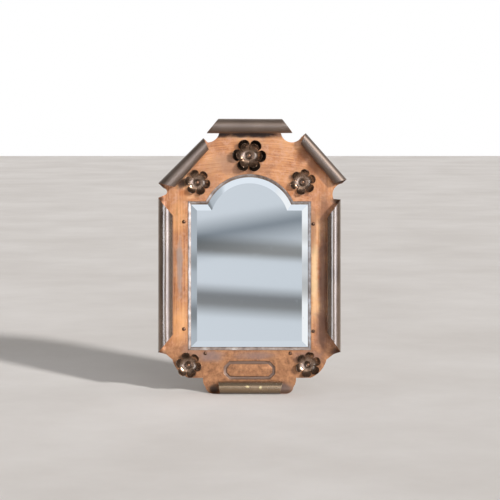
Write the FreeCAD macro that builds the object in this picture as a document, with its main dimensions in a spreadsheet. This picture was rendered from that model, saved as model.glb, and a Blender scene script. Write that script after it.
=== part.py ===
import FreeCAD, Part
import os

import Sketcher

# A copper table mirror. Every piece is drawn upright first: X to the right, Z up from the bottom of
# the lowest roll, Y from the front face of the copper sheet towards the back. The finished pieces
# then lean back together, with the origin under the middle of the board's foot.

doc = FreeCAD.newDocument("copper_table_mirror")

# Sizes in millimetres and degrees.
sizes = {
    # Copper sheet, with a window that is an arch on square shoulders
    "sheet_thickness": 0.8,
    "window_half_width": 93,
    "window_bottom": 65,
    "window_shoulder": 289.5,
    "arch_half_width": 66,
    "arch_rise": 41,
    # Outline of the sheet below its side tabs
    "corner_top_reach": 23,
    "corner_top_drop": 14,
    "corner_base_inset": 1,
    "corner_bulge": 4.5,
    "foot_tab_height": 14,
    "foot_tab_flare": 4,
    "foot_tab_bulge": 1.5,
    # How deep the round notches between the tabs go
    "top_left_notch": 7.5,
    "top_right_notch": 16,
    "side_left_notch": 3,
    "side_right_notch": 6.5,
    # How far round the tabs are rolled
    "roll_wrap": 270,
    # Pressed cartouche: a groove round a raised blank panel
    "cartouche_rise": 11.5,
    "cartouche_half_width": 39.5,
    "cartouche_half_height": 14.5,
    "cartouche_chamfer": 9,
    "cartouche_groove": 5.5,
    "cartouche_depth": 0.35,
    # Bezel strip round the glass
    "bezel_clearance": 0.3,
    "bezel_width": 4.7,
    "bezel_thickness": 2,
    "bezel_rebate": 1.4,
    "bezel_land": 0.6,
    "bezel_slope": 1.5,
    # Bevelled glass and its silver coat
    "glass_thickness": 5,
    "glass_cover": 2,
    "glass_gap": 0.05,
    "bevel_width": 11,
    "bevel_drop": 2,
    "silver_thickness": 0.2,
    "pocket_clearance": 0.4,
    # Wooden board behind the sheet
    "board_thickness": 16,
    "board_side_margin": 19,
    "board_top_margin": 41.5,
    "board_top_half": 48,
    "board_corner_rise": 16.5,
    "board_corner_drop": 9,
    "board_low_inset": 2,
    "board_low_rise": 4.5,
    "board_foot_half": 50,
    # Nails through the sheet into the board
    "nail_radius": 0.8,
    "nail_head_radius": 2.8,
    "nail_grip": 10,
    "left_nail_offset": 5.8,
    "right_nail_offset": 3,
    "upper_nail_drop": 31,
    "lower_nail_rise": 32,
    "right_nail_drop": 3.3,
    "base_nail_offset": 4.6,
    "base_nail_half": 64,
    "base_nail_shift": 2.6,
    # Pins that hold the flowers
    "pin_radius": 1,
    "pin_head_radius": 2.3,
    "pin_grip": 10,
    "shank_fit": 0.05,
    "hole_end_clearance": 0.5,
    "head_rim_angle": 25,
    # Stamped petals and the small tapered cup at a flower's middle
    "petal_count": 6,
    "petal_gauge": 0.6,
    "petal_tilt": 35,
    "cup_base_radius": 5.8,
    "cup_rim_radius": 4.2,
    "cup_height": 8,
    "cup_floor": 5.6,
    "cup_wall": 0.7,
    # How far the mirror leans back and how far its strut opens from the board
    "lean_angle": 5,
    "open_angle": 19,
    # Easel strut
    "strut_height": 240,
    "strut_thickness": 9,
    "strut_top_half": 14,
    "strut_foot_half": 24,
    "strut_heel": 9,
    "strut_neck": 22,
    "fold_gap": 0.6,
    "stop_clearance": 0.15,
    "side_clearance": 0.5,
    # Bracket with two ears, its hinge pin and its screws
    "bracket_gauge": 1.5,
    "bracket_half_width": 32,
    "bracket_half_height": 14,
    "ear_half": 6,
    "hinge_radius": 2,
    "hinge_clearance": 0.05,
    "hinge_head_radius": 3.2,
    "screw_radius": 1.5,
    "screw_head_radius": 3.5,
    "screw_grip": 8,
    "screw_half_spacing": 24,
    "screw_half_rise": 8,
}

# The six rolled tabs. A tab leaves the flat sheet on its root line: margin is how far that line's middle
# lies beyond the window's side, or above its top, and rise and shift place it up or along from there.
# Turn is the way the tab points (0 is right, 90 is up), half is half of its root line. The flares
# say how much longer each end is at the roll's outer edge, and from there to its free lip.
rolls = {
    "top_roll": {
        "shift": 1.25, "margin": 71.5, "turn": 90, "radius": 11, "half": 47.5,
        "edge_flare_start": 0, "edge_flare_end": 0, "lip_flare_start": 15.5, "lip_flare_end": 17.5,
    },
    "upper_left_roll": {
        "margin": 2.8, "rise": 53.9, "turn": 136.4, "radius": 10, "half": 47.8,
        "edge_flare_start": 0, "edge_flare_end": 0, "lip_flare_start": -6.5, "lip_flare_end": -13,
    },
    "left_roll": {
        "margin": 32.5, "shift": 2.25, "turn": 180, "radius": 11.5, "half": 120.5,
        "edge_flare_start": -5.4, "edge_flare_end": -3.4, "lip_flare_start": -27.5, "lip_flare_end": -27.5,
    },
    "bottom_roll": {
        "shift": 0, "turn": 270, "radius": 9.5, "half": 66,
        "edge_flare_start": -12.4, "edge_flare_end": -11, "lip_flare_start": -6.6, "lip_flare_end": -5,
    },
    "right_roll": {
        "margin": 33.5, "shift": -1.25, "turn": 0, "radius": 10.5, "half": 117,
        "edge_flare_start": -4, "edge_flare_end": -1, "lip_flare_start": -30, "lip_flare_end": -28,
    },
    "upper_right_roll": {
        "margin": 15.7, "rise": 61.7, "turn": 41.1, "radius": 9, "half": 46.4,
        "edge_flare_start": 0, "edge_flare_end": 0, "lip_flare_start": -8, "lip_flare_end": -7,
    },
}

# Flowers. An upper one stands inset from the root line of a roll and shifted along it, a lower one
# inset from the sheet's lower corner and raised above the lower edge. Phase turns its petals.
upper_flowers = {
    "top_flower": {"inset": 44.2, "shift": 1.55, "phase": -3},
    "upper_left_flower": {"inset": 30.6, "shift": 6.34, "phase": -10},
    "upper_right_flower": {"inset": 43.02, "shift": -6.26, "phase": 18},
}
lower_flowers = {
    "lower_left_flower": {"inset": 0.5, "rise": 19.6, "phase": -12},
    "lower_right_flower": {"inset": 3.8, "rise": 20.2, "phase": 20},
}

# Petal layers. A petal is a round dish: reach is from the flower's middle to a petal's tip.
petal_layers = {
    "corner_petals": {"reach": 19.5, "dish_radius": 7.4, "dish_curve": 9, "hub_radius": 9.5, "hub_height": 0.6},
    "outer_petals": {"reach": 25.5, "dish_radius": 9.7, "dish_curve": 11.8, "hub_radius": 12.4, "hub_height": 0.6},
    "inner_petals": {"reach": 19.5, "dish_radius": 7.4, "dish_curve": 9, "hub_radius": 9.5, "hub_height": 4},
}

sheet = doc.addObject("Spreadsheet::Sheet", "sizes")
for group in (rolls, upper_flowers, lower_flowers, petal_layers):
    for owner, values in group.items():
        sizes.update({f"{owner}_{word}": value for word, value in values.items()})
for row, (alias, value) in enumerate(sizes.items(), start=1):
    sheet.set(f"A{row}", alias)
    sheet.set(f"B{row}", str(value))
    sheet.setAlias(f"B{row}", alias)
doc.recompute()

# Places that follow from the sizes. Depths count back from the front face of the sheet.
places = {
    "window_top": "sizes.window_shoulder + sizes.arch_rise",
    "window_middle": "(sizes.window_bottom + sizes.window_shoulder) / 2",
    "lower_edge": "sizes.bottom_roll_radius + sizes.foot_tab_height",
    "corner_base": "sizes.window_half_width - sizes.corner_base_inset",
    "board_side": "sizes.window_half_width + sizes.board_side_margin",
    "top_roll_x": "sizes.top_roll_shift",
    "top_roll_z": "layout.window_top + sizes.top_roll_margin",
    "upper_left_roll_x": "-(sizes.window_half_width + sizes.upper_left_roll_margin)",
    "upper_left_roll_z": "sizes.window_shoulder + sizes.upper_left_roll_rise",
    "left_roll_x": "-(sizes.window_half_width + sizes.left_roll_margin)",
    "left_roll_z": "layout.window_middle + sizes.left_roll_shift",
    "bottom_roll_x": "sizes.bottom_roll_shift",
    "bottom_roll_z": "sizes.bottom_roll_radius",
    "right_roll_x": "sizes.window_half_width + sizes.right_roll_margin",
    "right_roll_z": "layout.window_middle + sizes.right_roll_shift",
    "upper_right_roll_x": "sizes.window_half_width + sizes.upper_right_roll_margin",
    "upper_right_roll_z": "sizes.window_shoulder + sizes.upper_right_roll_rise",
    "arch_radius": "(sizes.arch_half_width ^ 2 + sizes.arch_rise ^ 2) / (2 * sizes.arch_rise)",
    "bezel_back": "sizes.sheet_thickness + sizes.bezel_rebate",
    "bezel_inset": "sizes.bezel_clearance + sizes.bezel_width",
    "glass_inset": "layout.bezel_inset - sizes.glass_cover",
    "glass_edge": "layout.bezel_back + sizes.glass_gap"
                  " + sizes.bevel_drop * sizes.glass_cover / sizes.bevel_width",
    "glass_front": "layout.glass_edge - sizes.bevel_drop",
    "glass_back": "layout.glass_front + sizes.glass_thickness",
    "silver_back": "layout.glass_back + sizes.silver_thickness",
    "board_back": "sizes.sheet_thickness + sizes.board_thickness",
    "bracket_back": "layout.board_back + sizes.bracket_gauge",
    "hinge_depth": "layout.bracket_back + sizes.fold_gap + sizes.strut_thickness / 2",
    "ear_inside": "sizes.strut_top_half + sizes.side_clearance",
    "ear_outside": "layout.ear_inside + sizes.bracket_gauge",
    # The lean sets the bottom roll down on the floor and the middle of the board's foot at the origin.
    "lean_z": "sizes.bottom_roll_radius * (1 - cos(sizes.lean_angle))"
              " + (sizes.sheet_thickness - sizes.bottom_roll_radius) * sin(sizes.lean_angle)",
    "lean_y": "(layout.lean_z * sin(sizes.lean_angle) - sizes.sheet_thickness - sizes.board_thickness / 2)"
              " / cos(sizes.lean_angle)",
    "hinge_above_floor": "sizes.strut_height * cos(sizes.lean_angle)"
                         " - layout.hinge_depth * sin(sizes.lean_angle) + layout.lean_z",
    "strut_length": "layout.hinge_above_floor / cos(sizes.open_angle - sizes.lean_angle)"
                    " + sizes.strut_thickness",
}
for flower in upper_flowers:
    roll = flower.replace("_flower", "_roll")
    places[f"{flower}_x"] = (f"layout.{roll}_x - sizes.{flower}_inset * cos(sizes.{roll}_turn)"
                             f" - sizes.{flower}_shift * sin(sizes.{roll}_turn)")
    places[f"{flower}_z"] = (f"layout.{roll}_z - sizes.{flower}_inset * sin(sizes.{roll}_turn)"
                             f" + sizes.{flower}_shift * cos(sizes.{roll}_turn)")
for flower, side in (("lower_left_flower", "-1"), ("lower_right_flower", "1")):
    places[f"{flower}_x"] = f"{side} * (layout.corner_base - sizes.{flower}_inset)"
    places[f"{flower}_z"] = f"layout.lower_edge + sizes.{flower}_rise"
layout = doc.addObject("App::VarSet", "layout")
for name, expression in places.items():
    layout.addProperty("App::PropertyFloat", name)
    layout.setExpression(name, expression)
doc.recompute()

lean = ("placement(vector(0; layout.lean_y; layout.lean_z);"
        " rotation(vector(1; 0; 0); -sizes.lean_angle))")


def number(expression):
    """Value of an expression at the sheet's sizes."""
    return float(sheet.evalExpression(expression))


def add(kind, name, **bound):
    """New object of the document with its sizes bound to expressions."""
    item = doc.addObject(kind, name)
    for prop, expression in bound.items():
        item.setExpression(prop, expression)
    return item


def at(x, y, z, axis="0; 0; 1", angle="0"):
    """Placement expression: a point, and a turn about an axis there."""
    return f"placement(vector({x}; {y}; {z}); rotation(vector({axis}); {angle}))"


def cut(name, base, tool):
    item = doc.addObject("Part::Cut", name)
    item.Base = base
    item.Tool = tool
    return item


def common(name, base, tool):
    item = doc.addObject("Part::Common", name)
    item.Base = base
    item.Tool = tool
    return item


def fuse(name, shapes):
    item = doc.addObject("Part::MultiFuse", name)
    item.Shapes = shapes
    return item


def new_sketch(body, name, role, depth="0"):
    """Sketch on one of the body's own planes, set back by a depth."""
    sketch = body.newObject("Sketcher::SketchObject", name)
    plane = next(item for item in body.Origin.OriginFeatures if item.Role == role)
    sketch.AttachmentSupport = [(plane, "")]
    sketch.MapMode = "FlatFace"
    sketch.setExpression("AttachmentOffset.Base.z", f"-({depth})")
    return sketch


def constrain(sketch, kind, place, expression):
    """Constraint on a geometry, or on one of its points, that follows an expression."""
    index = sketch.addConstraint(Sketcher.Constraint(kind, *place, number(expression)))
    sketch.setExpression(f"Constraints[{index}]", expression)


def draw_outline(sketch, corners):
    """Closed outline through corners (x, z, bulge). A bulge is the height of the arc that comes to
    that corner from the one before, positive to the left of the way round, and None is a straight edge."""
    first = sketch.GeometryCount
    ends = []
    for index, (x, z, bulge) in enumerate(corners):
        last_x, last_z, _ = corners[index - 1]
        start = FreeCAD.Vector(number(last_x), number(last_z), 0)
        end = FreeCAD.Vector(number(x), number(z), 0)
        geometry = first + index
        if bulge is None:
            sketch.addGeometry(Part.LineSegment(start, end))
            ends.append((1, 2))
            continue
        height = number(bulge)
        left = FreeCAD.Vector(start.y - end.y, end.x - start.x, 0).normalize()
        arc = Part.Arc(start, (start + end) * 0.5 + left * height, end)
        sketch.addGeometry(arc)
        # An arc of a sketch always runs anticlockwise, so one that bulges left is drawn from its end.
        ends.append((2, 1) if height > 0 else (1, 2))
        radius = (f"((({x}) - ({last_x})) ^ 2 + (({z}) - ({last_z})) ^ 2) / (8 * abs({bulge}))"
                  f" + abs({bulge}) / 2")
        constrain(sketch, "Radius", (geometry,), radius)
    for index, (x, z, _) in enumerate(corners):
        following = (index + 1) % len(corners)
        sketch.addConstraint(Sketcher.Constraint(
            "Coincident", first + index, ends[index][1], first + following, ends[following][0]))
        constrain(sketch, "DistanceX", (first + index, ends[index][1]), x)
        constrain(sketch, "DistanceY", (first + index, ends[index][1]), z)


def draw_circle(sketch, x, z, radius):
    centre = FreeCAD.Vector(number(x), number(z), 0)
    index = sketch.addGeometry(Part.Circle(centre, FreeCAD.Vector(0, 0, 1), number(radius)))
    constrain(sketch, "DistanceX", (index, 3), x)
    constrain(sketch, "DistanceY", (index, 3), z)
    constrain(sketch, "Radius", (index,), radius)


def draw_arch(sketch, inset):
    """The window's arch on square shoulders, drawn in by an inset."""
    side = f"(sizes.window_half_width - ({inset}))"
    bottom = f"(sizes.window_bottom + ({inset}))"
    shoulder = f"(sizes.window_shoulder - ({inset}))"
    spring = f"sqrt(sizes.arch_rise * (2 * (layout.arch_radius - ({inset})) - sizes.arch_rise))"
    draw_outline(sketch, [
        (f"-{side}", bottom, None),
        (f"-{side}", shoulder, None),
        (f"-{spring}", shoulder, None),
        (spring, shoulder, "sizes.arch_rise"),
        (side, shoulder, None),
        (side, bottom, None),
    ])


def pad(body, sketch, length):
    """Thickness given to a front-view sketch, from its plane towards the back."""
    feature = body.newObject("PartDesign::Pad", f"{sketch.Name}_pad")
    feature.Profile = sketch
    feature.Reversed = True
    feature.setExpression("Length", length)
    doc.recompute()
    return feature


def pocket(body, sketch, depth):
    """Pocket from a front-view sketch towards the back, which has to take something away."""
    volume = body.Shape.Volume
    feature = body.newObject("PartDesign::Pocket", f"{sketch.Name}_pocket")
    feature.Profile = sketch
    feature.setExpression("Length", depth)
    doc.recompute()
    if not body.Shape.Volume < volume:
        raise RuntimeError(f"{feature.Name} cuts nothing")
    return feature


def stud(name, head_radius, shank_radius, shank_length):
    """Round-headed nail, pin or screw: its head stands on Z = 0 and its shank goes down."""
    shank = add("Part::Cylinder", f"{name}_shank", Radius=shank_radius, Height=shank_length)
    shank.setExpression("Placement.Base.z", f"-({shank_length})")
    ball = f"({head_radius}) / cos(sizes.head_rim_angle)"
    head = add("Part::Sphere", f"{name}_head", Radius=ball, Angle1="sizes.head_rim_angle")
    head.setExpression("Placement.Base.z", f"-{ball} * sin(sizes.head_rim_angle)")
    return fuse(name, [shank, head])


def root_corner(roll, end):
    """One end of the line where a roll leaves the flat sheet; end is -1 for its start and 1 for its end."""
    along = f"{end} * sizes.{roll}_half"
    x = f"(layout.{roll}_x - {along} * sin(sizes.{roll}_turn))"
    z = f"(layout.{roll}_z + {along} * cos(sizes.{roll}_turn))"
    return x, z


def make_roll(roll):
    """One rolled tab, drawn pointing to the right with its root line on the Z axis, then turned."""
    radius = f"sizes.{roll}_radius"
    half = f"sizes.{roll}_half"
    edge = {end: f"sizes.{roll}_edge_flare_{end}" for end in ("start", "end")}
    lip = {end: f"sizes.{roll}_lip_flare_{end}" for end in ("start", "end")}
    reach = {end: f"({half} + max(0; {edge[end]}; {edge[end]} + {lip[end]}))" for end in edge}
    length = f"{reach['start']} + {reach['end']}"
    middle = f"sizes.sheet_thickness - {radius}"
    bore = f"{radius} - sizes.sheet_thickness"

    tube = add("Part::Cylinder", f"{roll}_tube", Radius=radius, Height=length, Angle="sizes.roll_wrap")
    tube.setExpression("Placement", at("0", middle, f"-{reach['start']}", angle="90 - sizes.roll_wrap"))
    hollow = add("Part::Cylinder", f"{roll}_hollow", Radius=bore, Height=length)
    hollow.setExpression("Placement", at("0", middle, f"-{reach['start']}"))
    curl = cut(f"{roll}_curl", tube, hollow)

    # The ends are cut slantwise: the back quarter from root to outer edge, the front from edge to lip.
    # A cutter tapers along its own Y, which is the way the tab points, and is 4 radii wide.
    sides = {
        "back": (f"-{radius}", bore, "{half} - 2 * ({edge})", "{half} + 2 * ({edge})"),
        "front": (bore, f"3 * {radius}", "{half} + {edge} + 1.5 * ({lip})", "{half} + {edge} - 0.5 * ({lip})"),
    }
    halves = []
    for side, (near, far, inner, outer) in sides.items():
        start = {"half": half, "edge": edge["start"], "lip": lip["start"]}
        end = {"half": half, "edge": edge["end"], "lip": lip["end"]}
        cutter = add(
            "Part::Wedge", f"{roll}_{side}_cutter",
            Xmin=near, Xmax=far, X2min=near, X2max=far,
            Ymin=f"-2 * {radius}", Ymax=f"2 * {radius}",
            Zmin=f"-({inner.format(**start)})", Zmax=inner.format(**end),
            Z2min=f"-({outer.format(**start)})", Z2max=outer.format(**end),
            Placement=at("0", "0", "0", angle="-90"),
        )
        piece = common(f"{roll}_{side}", curl, cutter)
        piece.setExpression("Placement", at(
            f"layout.{roll}_x", "0", f"layout.{roll}_z", "0; -1; 0", f"sizes.{roll}_turn"))
        halves.append(piece)
    return halves


nail_places = [
    ("-(sizes.window_half_width + sizes.left_nail_offset)", "sizes.window_shoulder - sizes.upper_nail_drop"),
    ("-(sizes.window_half_width + sizes.left_nail_offset)", "sizes.window_bottom + sizes.lower_nail_rise"),
    ("sizes.window_half_width + sizes.right_nail_offset",
     "sizes.window_shoulder - sizes.upper_nail_drop - sizes.right_nail_drop"),
    ("sizes.window_half_width + sizes.right_nail_offset",
     "sizes.window_bottom + sizes.lower_nail_rise - sizes.right_nail_drop"),
    ("-sizes.base_nail_half - sizes.base_nail_shift", "sizes.window_bottom - sizes.base_nail_offset"),
    ("sizes.base_nail_half - sizes.base_nail_shift", "sizes.window_bottom - sizes.base_nail_offset"),
]
flowers = [*upper_flowers, *lower_flowers]
flower_places = [(f"layout.{flower}_x", f"layout.{flower}_z") for flower in flowers]
screw_places = [
    (f"{side} * sizes.screw_half_spacing", f"sizes.strut_height + {rise} * sizes.screw_half_rise")
    for side in (-1, 1) for rise in (-1, 1)
]


def draw_shank_holes(sketch):
    """Holes for the nails and the flower pins."""
    for x, z in nail_places:
        draw_circle(sketch, x, z, "sizes.nail_radius + sizes.shank_fit")
    for x, z in flower_places:
        draw_circle(sketch, x, z, "sizes.pin_radius + sizes.shank_fit")


def make_frame_sheet():
    """The copper sheet: flat plate, window, cartouche groove and six rolled tabs."""
    body = doc.addObject("PartDesign::Body", "plate")
    plan = new_sketch(body, "plate_plan", "XZ_Plane")
    corner_top = ("sizes.window_half_width + sizes.corner_top_reach",
                  "sizes.window_bottom - sizes.corner_top_drop")
    foot_tab = "sizes.bottom_roll_half + sizes.foot_tab_flare"
    outline = [
        (*root_corner("top_roll", 1), "-sizes.top_left_notch"),
        (*root_corner("top_roll", -1), None),
        (*root_corner("upper_right_roll", 1), "-sizes.top_right_notch"),
        (*root_corner("upper_right_roll", -1), None),
        (*root_corner("right_roll", 1), "-sizes.side_right_notch"),
        (*root_corner("right_roll", -1), None),
        (*corner_top, None),
        ("layout.corner_base", "layout.lower_edge", "sizes.corner_bulge"),
        (foot_tab, "layout.lower_edge", None),
        (*root_corner("bottom_roll", 1), "sizes.foot_tab_bulge"),
        (*root_corner("bottom_roll", -1), None),
        (f"-({foot_tab})", "layout.lower_edge", "sizes.foot_tab_bulge"),
        ("-layout.corner_base", "layout.lower_edge", None),
        (f"-({corner_top[0]})", corner_top[1], "sizes.corner_bulge"),
        (*root_corner("left_roll", 1), None),
        (*root_corner("left_roll", -1), None),
        (*root_corner("upper_left_roll", 1), "-sizes.side_left_notch"),
        (*root_corner("upper_left_roll", -1), None),
    ]
    draw_outline(plan, outline)
    draw_arch(plan, "0")
    draw_shank_holes(plan)
    pad(body, plan, "sizes.sheet_thickness")

    groove = new_sketch(body, "cartouche", "XZ_Plane")
    for inset in ("0", "sizes.cartouche_groove"):
        wide = f"(sizes.cartouche_half_width - {inset})"
        high = f"(sizes.cartouche_half_height - {inset})"
        # A chamfer moved in by the groove keeps the groove's width on the slant too.
        chamfer = f"(sizes.cartouche_chamfer - {inset} * (2 - sqrt(2)))"
        middle = "layout.lower_edge + sizes.cartouche_rise"
        draw_outline(groove, [
            (f"-{wide}", f"{middle} - {high} + {chamfer}", None),
            (f"-{wide}", f"{middle} + {high} - {chamfer}", None),
            (f"-({wide} - {chamfer})", f"{middle} + {high}", None),
            (f"{wide} - {chamfer}", f"{middle} + {high}", None),
            (wide, f"{middle} + {high} - {chamfer}", None),
            (wide, f"{middle} - {high} + {chamfer}", None),
            (f"{wide} - {chamfer}", f"{middle} - {high}", None),
            (f"-({wide} - {chamfer})", f"{middle} - {high}", None),
        ])
    pocket(body, groove, "sizes.cartouche_depth")

    shapes = [body]
    for roll in rolls:
        shapes += make_roll(roll)
    frame_sheet = fuse("frame_sheet", shapes)
    frame_sheet.Refine = True
    frame_sheet.setExpression("Placement", lean)
    return frame_sheet


def make_bezel():
    """Strip round the glass: a narrow land at the window's edge, then a lip that slopes in to the glass."""
    body = doc.addObject("PartDesign::Body", "glass_bezel")
    ring = new_sketch(body, "bezel_ring", "XZ_Plane", "layout.bezel_back - sizes.bezel_thickness")
    draw_arch(ring, "sizes.bezel_clearance")
    draw_arch(ring, "layout.bezel_inset")
    pad(body, ring, "sizes.bezel_thickness")
    front = "layout.bezel_back - sizes.bezel_thickness"
    mouth = new_sketch(body, "bezel_mouth", "XZ_Plane", front)
    draw_arch(mouth, "sizes.bezel_clearance + sizes.bezel_land")
    throat = new_sketch(body, "bezel_throat", "XZ_Plane", f"{front} + sizes.bezel_slope")
    draw_arch(throat, "layout.bezel_inset")
    slope = body.newObject("PartDesign::SubtractiveLoft", "bezel_lip")
    slope.Profile = mouth
    slope.Sections = [throat]
    slope.Ruled = True
    body.setExpression("Placement", lean)
    return body


def make_glass():
    """Glass with a ground bevel: a slab with a loft from its edge up to the flat front."""
    body = doc.addObject("PartDesign::Body", "mirror_glass")
    edge = new_sketch(body, "glass_edge", "XZ_Plane", "layout.glass_edge")
    draw_arch(edge, "layout.glass_inset")
    pad(body, edge, "layout.glass_back - layout.glass_edge")
    face = new_sketch(body, "glass_face", "XZ_Plane", "layout.glass_front")
    draw_arch(face, "layout.glass_inset + sizes.bevel_width")
    bevel = body.newObject("PartDesign::AdditiveLoft", "glass_bevel")
    bevel.Profile = edge
    bevel.Sections = [face]
    bevel.Ruled = True
    body.setExpression("Placement", lean)
    return body


def make_silvering():
    body = doc.addObject("PartDesign::Body", "mirror_silvering")
    coat = new_sketch(body, "silver_coat", "XZ_Plane", "layout.glass_back")
    draw_arch(coat, "layout.glass_inset")
    pad(body, coat, "sizes.silver_thickness")
    body.setExpression("Placement", lean)
    return body


def make_floor_block():
    """A block below the floor, which trims the feet level."""
    size = "4 * layout.board_side"
    block = add("Part::Box", "floor_block", Length=size, Width=size, Height="layout.board_side")
    block.setExpression("Placement", at(f"-{size} / 2", f"-{size} / 2", "-layout.board_side"))
    return block


def make_backboard(floor_block):
    """Wooden board: pocket for the glass, rebate for the bezel, holes, and a level foot."""
    body = doc.addObject("PartDesign::Body", "board_blank")
    plan = new_sketch(body, "board_plan", "XZ_Plane", "sizes.sheet_thickness")
    right_side = [
        ("sizes.board_top_half", "layout.window_top + sizes.board_top_margin"),
        ("layout.board_side", "sizes.window_shoulder + sizes.board_corner_rise"),
        ("layout.board_side", "sizes.window_bottom - sizes.board_corner_drop"),
        ("layout.corner_base - sizes.board_low_inset", "layout.lower_edge + sizes.board_low_rise"),
        ("sizes.board_foot_half", "layout.lower_edge + sizes.board_low_rise"),
        ("sizes.board_foot_half", "0"),
    ]
    left_side = [(f"-({x})", z) for x, z in reversed(right_side)]
    draw_outline(plan, [(x, z, None) for x, z in right_side + left_side])
    pad(body, plan, "sizes.board_thickness")

    rebate = new_sketch(body, "bezel_rebate", "XZ_Plane", "sizes.sheet_thickness")
    draw_arch(rebate, "0")
    pocket(body, rebate, "sizes.bezel_rebate")
    bed = new_sketch(body, "glass_bed", "XZ_Plane", "sizes.sheet_thickness")
    draw_arch(bed, "layout.glass_inset - sizes.pocket_clearance")
    pocket(body, bed, "layout.silver_back - sizes.sheet_thickness")

    shanks = new_sketch(body, "shank_holes", "XZ_Plane", "sizes.sheet_thickness")
    draw_shank_holes(shanks)
    pocket(body, shanks, "max(sizes.nail_grip; sizes.pin_grip) + sizes.hole_end_clearance")
    depth = "(sizes.screw_grip + sizes.hole_end_clearance)"
    screws = new_sketch(body, "screw_holes", "XZ_Plane", f"layout.board_back - {depth}")
    for x, z in screw_places:
        draw_circle(screws, x, z, "sizes.screw_radius + sizes.shank_fit")
    pocket(body, screws, depth)
    body.setExpression("Placement", lean)
    return cut("backboard", body, floor_block)


def make_petals(name, layer):
    """One stamped layer: a hub with six round dishes tilted up at their tips, facing +Z."""
    size = {word: f"sizes.{layer}_{word}" for word in petal_layers[layer]}
    body = doc.addObject("PartDesign::Body", name)
    hub = new_sketch(body, f"{name}_hub", "XY_Plane")
    draw_circle(hub, "0", "0", size["hub_radius"])
    hub_pad = body.newObject("PartDesign::Pad", f"{name}_hub_pad")
    hub_pad.Profile = hub
    hub_pad.setExpression("Length", size["hub_height"])

    # The dish's section stands on its own axis, tilted so that the dish rests on the hub's level.
    rise = f"({size['dish_curve']} - sqrt({size['dish_curve']} ^ 2 - {size['dish_radius']} ^ 2))"
    inner = f"({size['dish_curve']} - sizes.petal_gauge)"
    share = f"({inner} / {size['dish_curve']})"
    dish = new_sketch(body, f"{name}_dish", "XZ_Plane")
    dish.setExpression("AttachmentOffset", "placement(vector("
                       f"{size['reach']} - {size['dish_radius']} * cos(sizes.petal_tilt)"
                       f" + {rise} * sin(sizes.petal_tilt); "
                       f"{size['dish_curve']} * (1 - cos(sizes.petal_tilt))"
                       f" + {size['hub_height']} - sizes.petal_gauge; 0);"
                       " rotation(vector(0; 0; 1); sizes.petal_tilt))")
    rim_inner = (f"{size['dish_radius']} * {share}", f"{size['dish_curve']} - "
                 f"({size['dish_curve']} - {rise}) * {share}")
    chord_outer = f"({size['dish_radius']} ^ 2 + {rise} ^ 2)"
    bulge_outer = f"({size['dish_curve']} - sqrt({size['dish_curve']} ^ 2 - {chord_outer} / 4))"
    draw_outline(dish, [
        ("0", "0", None),
        (size["dish_radius"], rise, f"-{bulge_outer}"),
        (*rim_inner, None),
        ("0", "sizes.petal_gauge", f"{bulge_outer} * {share}"),
    ])
    doc.recompute()
    petal = body.newObject("PartDesign::Revolution", f"{name}_petal")
    petal.Profile = dish
    petal.ReferenceAxis = (dish, ["V_Axis"])
    petal.Angle = 360
    doc.recompute()
    ring = body.newObject("PartDesign::PolarPattern", f"{name}_ring")
    ring.Originals = [petal]
    axis = next(item for item in body.Origin.OriginFeatures if item.Role == "Z_Axis")
    ring.Axis = (axis, [""])
    ring.Angle = 360
    ring.setExpression("Occurrences", "sizes.petal_count")
    body.Tip = ring
    doc.recompute()

    hole = new_sketch(body, f"{name}_hole", "XY_Plane")
    draw_circle(hole, "0", "0", "sizes.pin_radius + sizes.shank_fit")
    volume = body.Shape.Volume
    bore = body.newObject("PartDesign::Pocket", f"{name}_bore")
    bore.Profile = hole
    bore.Reversed = True
    bore.setExpression("Length", size["hub_height"])
    doc.recompute()
    if not body.Shape.Volume < volume:
        raise RuntimeError(f"{bore.Name} cuts nothing")
    return body


def make_cup(name):
    """Small tapered cup, standing on Z = 0, with a thick floor that the pin goes through."""
    outside = add("Part::Cone", f"{name}_outside", Radius1="sizes.cup_base_radius",
                  Radius2="sizes.cup_rim_radius", Height="sizes.cup_height")
    inside = add("Part::Cylinder", f"{name}_inside", Radius="sizes.cup_rim_radius - sizes.cup_wall",
                 Height="sizes.cup_height - sizes.cup_floor")
    inside.setExpression("Placement.Base.z", "sizes.cup_floor")
    hole = add("Part::Cylinder", f"{name}_hole", Radius="sizes.pin_radius + sizes.shank_fit",
               Height="sizes.cup_height")
    return cut(name, cut(f"{name}_shell", outside, inside), hole)


def on_flower(flower, height):
    """Placement of a piece at a height above the sheet, on a flower's pin and turned with it."""
    front = at(f"layout.{flower}_x", f"-({height})", f"layout.{flower}_z", "1; 0; 0", "90")
    return f"{lean} * {front} * {at('0', '0', '0', angle=f'sizes.{flower}_phase')}"


def make_flower(flower, layers):
    """Petal layers, cup and pin of one flower. Each layer stands on the hub of the one before."""
    pieces = []
    height = "0"
    for layer, name in layers:
        petals = make_petals(name, layer)
        petals.setExpression("Placement", on_flower(flower, height))
        pieces.append(petals)
        height = f"{height} + sizes.{layer}_hub_height"
    cup = make_cup(f"{flower}_cup")
    cup.setExpression("Placement", on_flower(flower, height))
    seat = f"{height} + sizes.cup_floor"
    pin = stud(f"{flower}_pin", "sizes.pin_head_radius", "sizes.pin_radius",
               f"{seat} + sizes.sheet_thickness + sizes.pin_grip")
    pin.setExpression("Placement", on_flower(flower, seat))
    return pieces + [cup, pin]


def make_group(name, pieces, seat, turn):
    """Several equal studs in one group: seat is the face that their heads stand on."""
    for piece, (x, z) in pieces:
        piece.setExpression("Placement", at(x, seat, z, "1; 0; 0", turn))
    group = doc.addObject("Part::Compound", name)
    group.Links = [piece for piece, _ in pieces]
    group.setExpression("Placement", lean)
    return group


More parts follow.
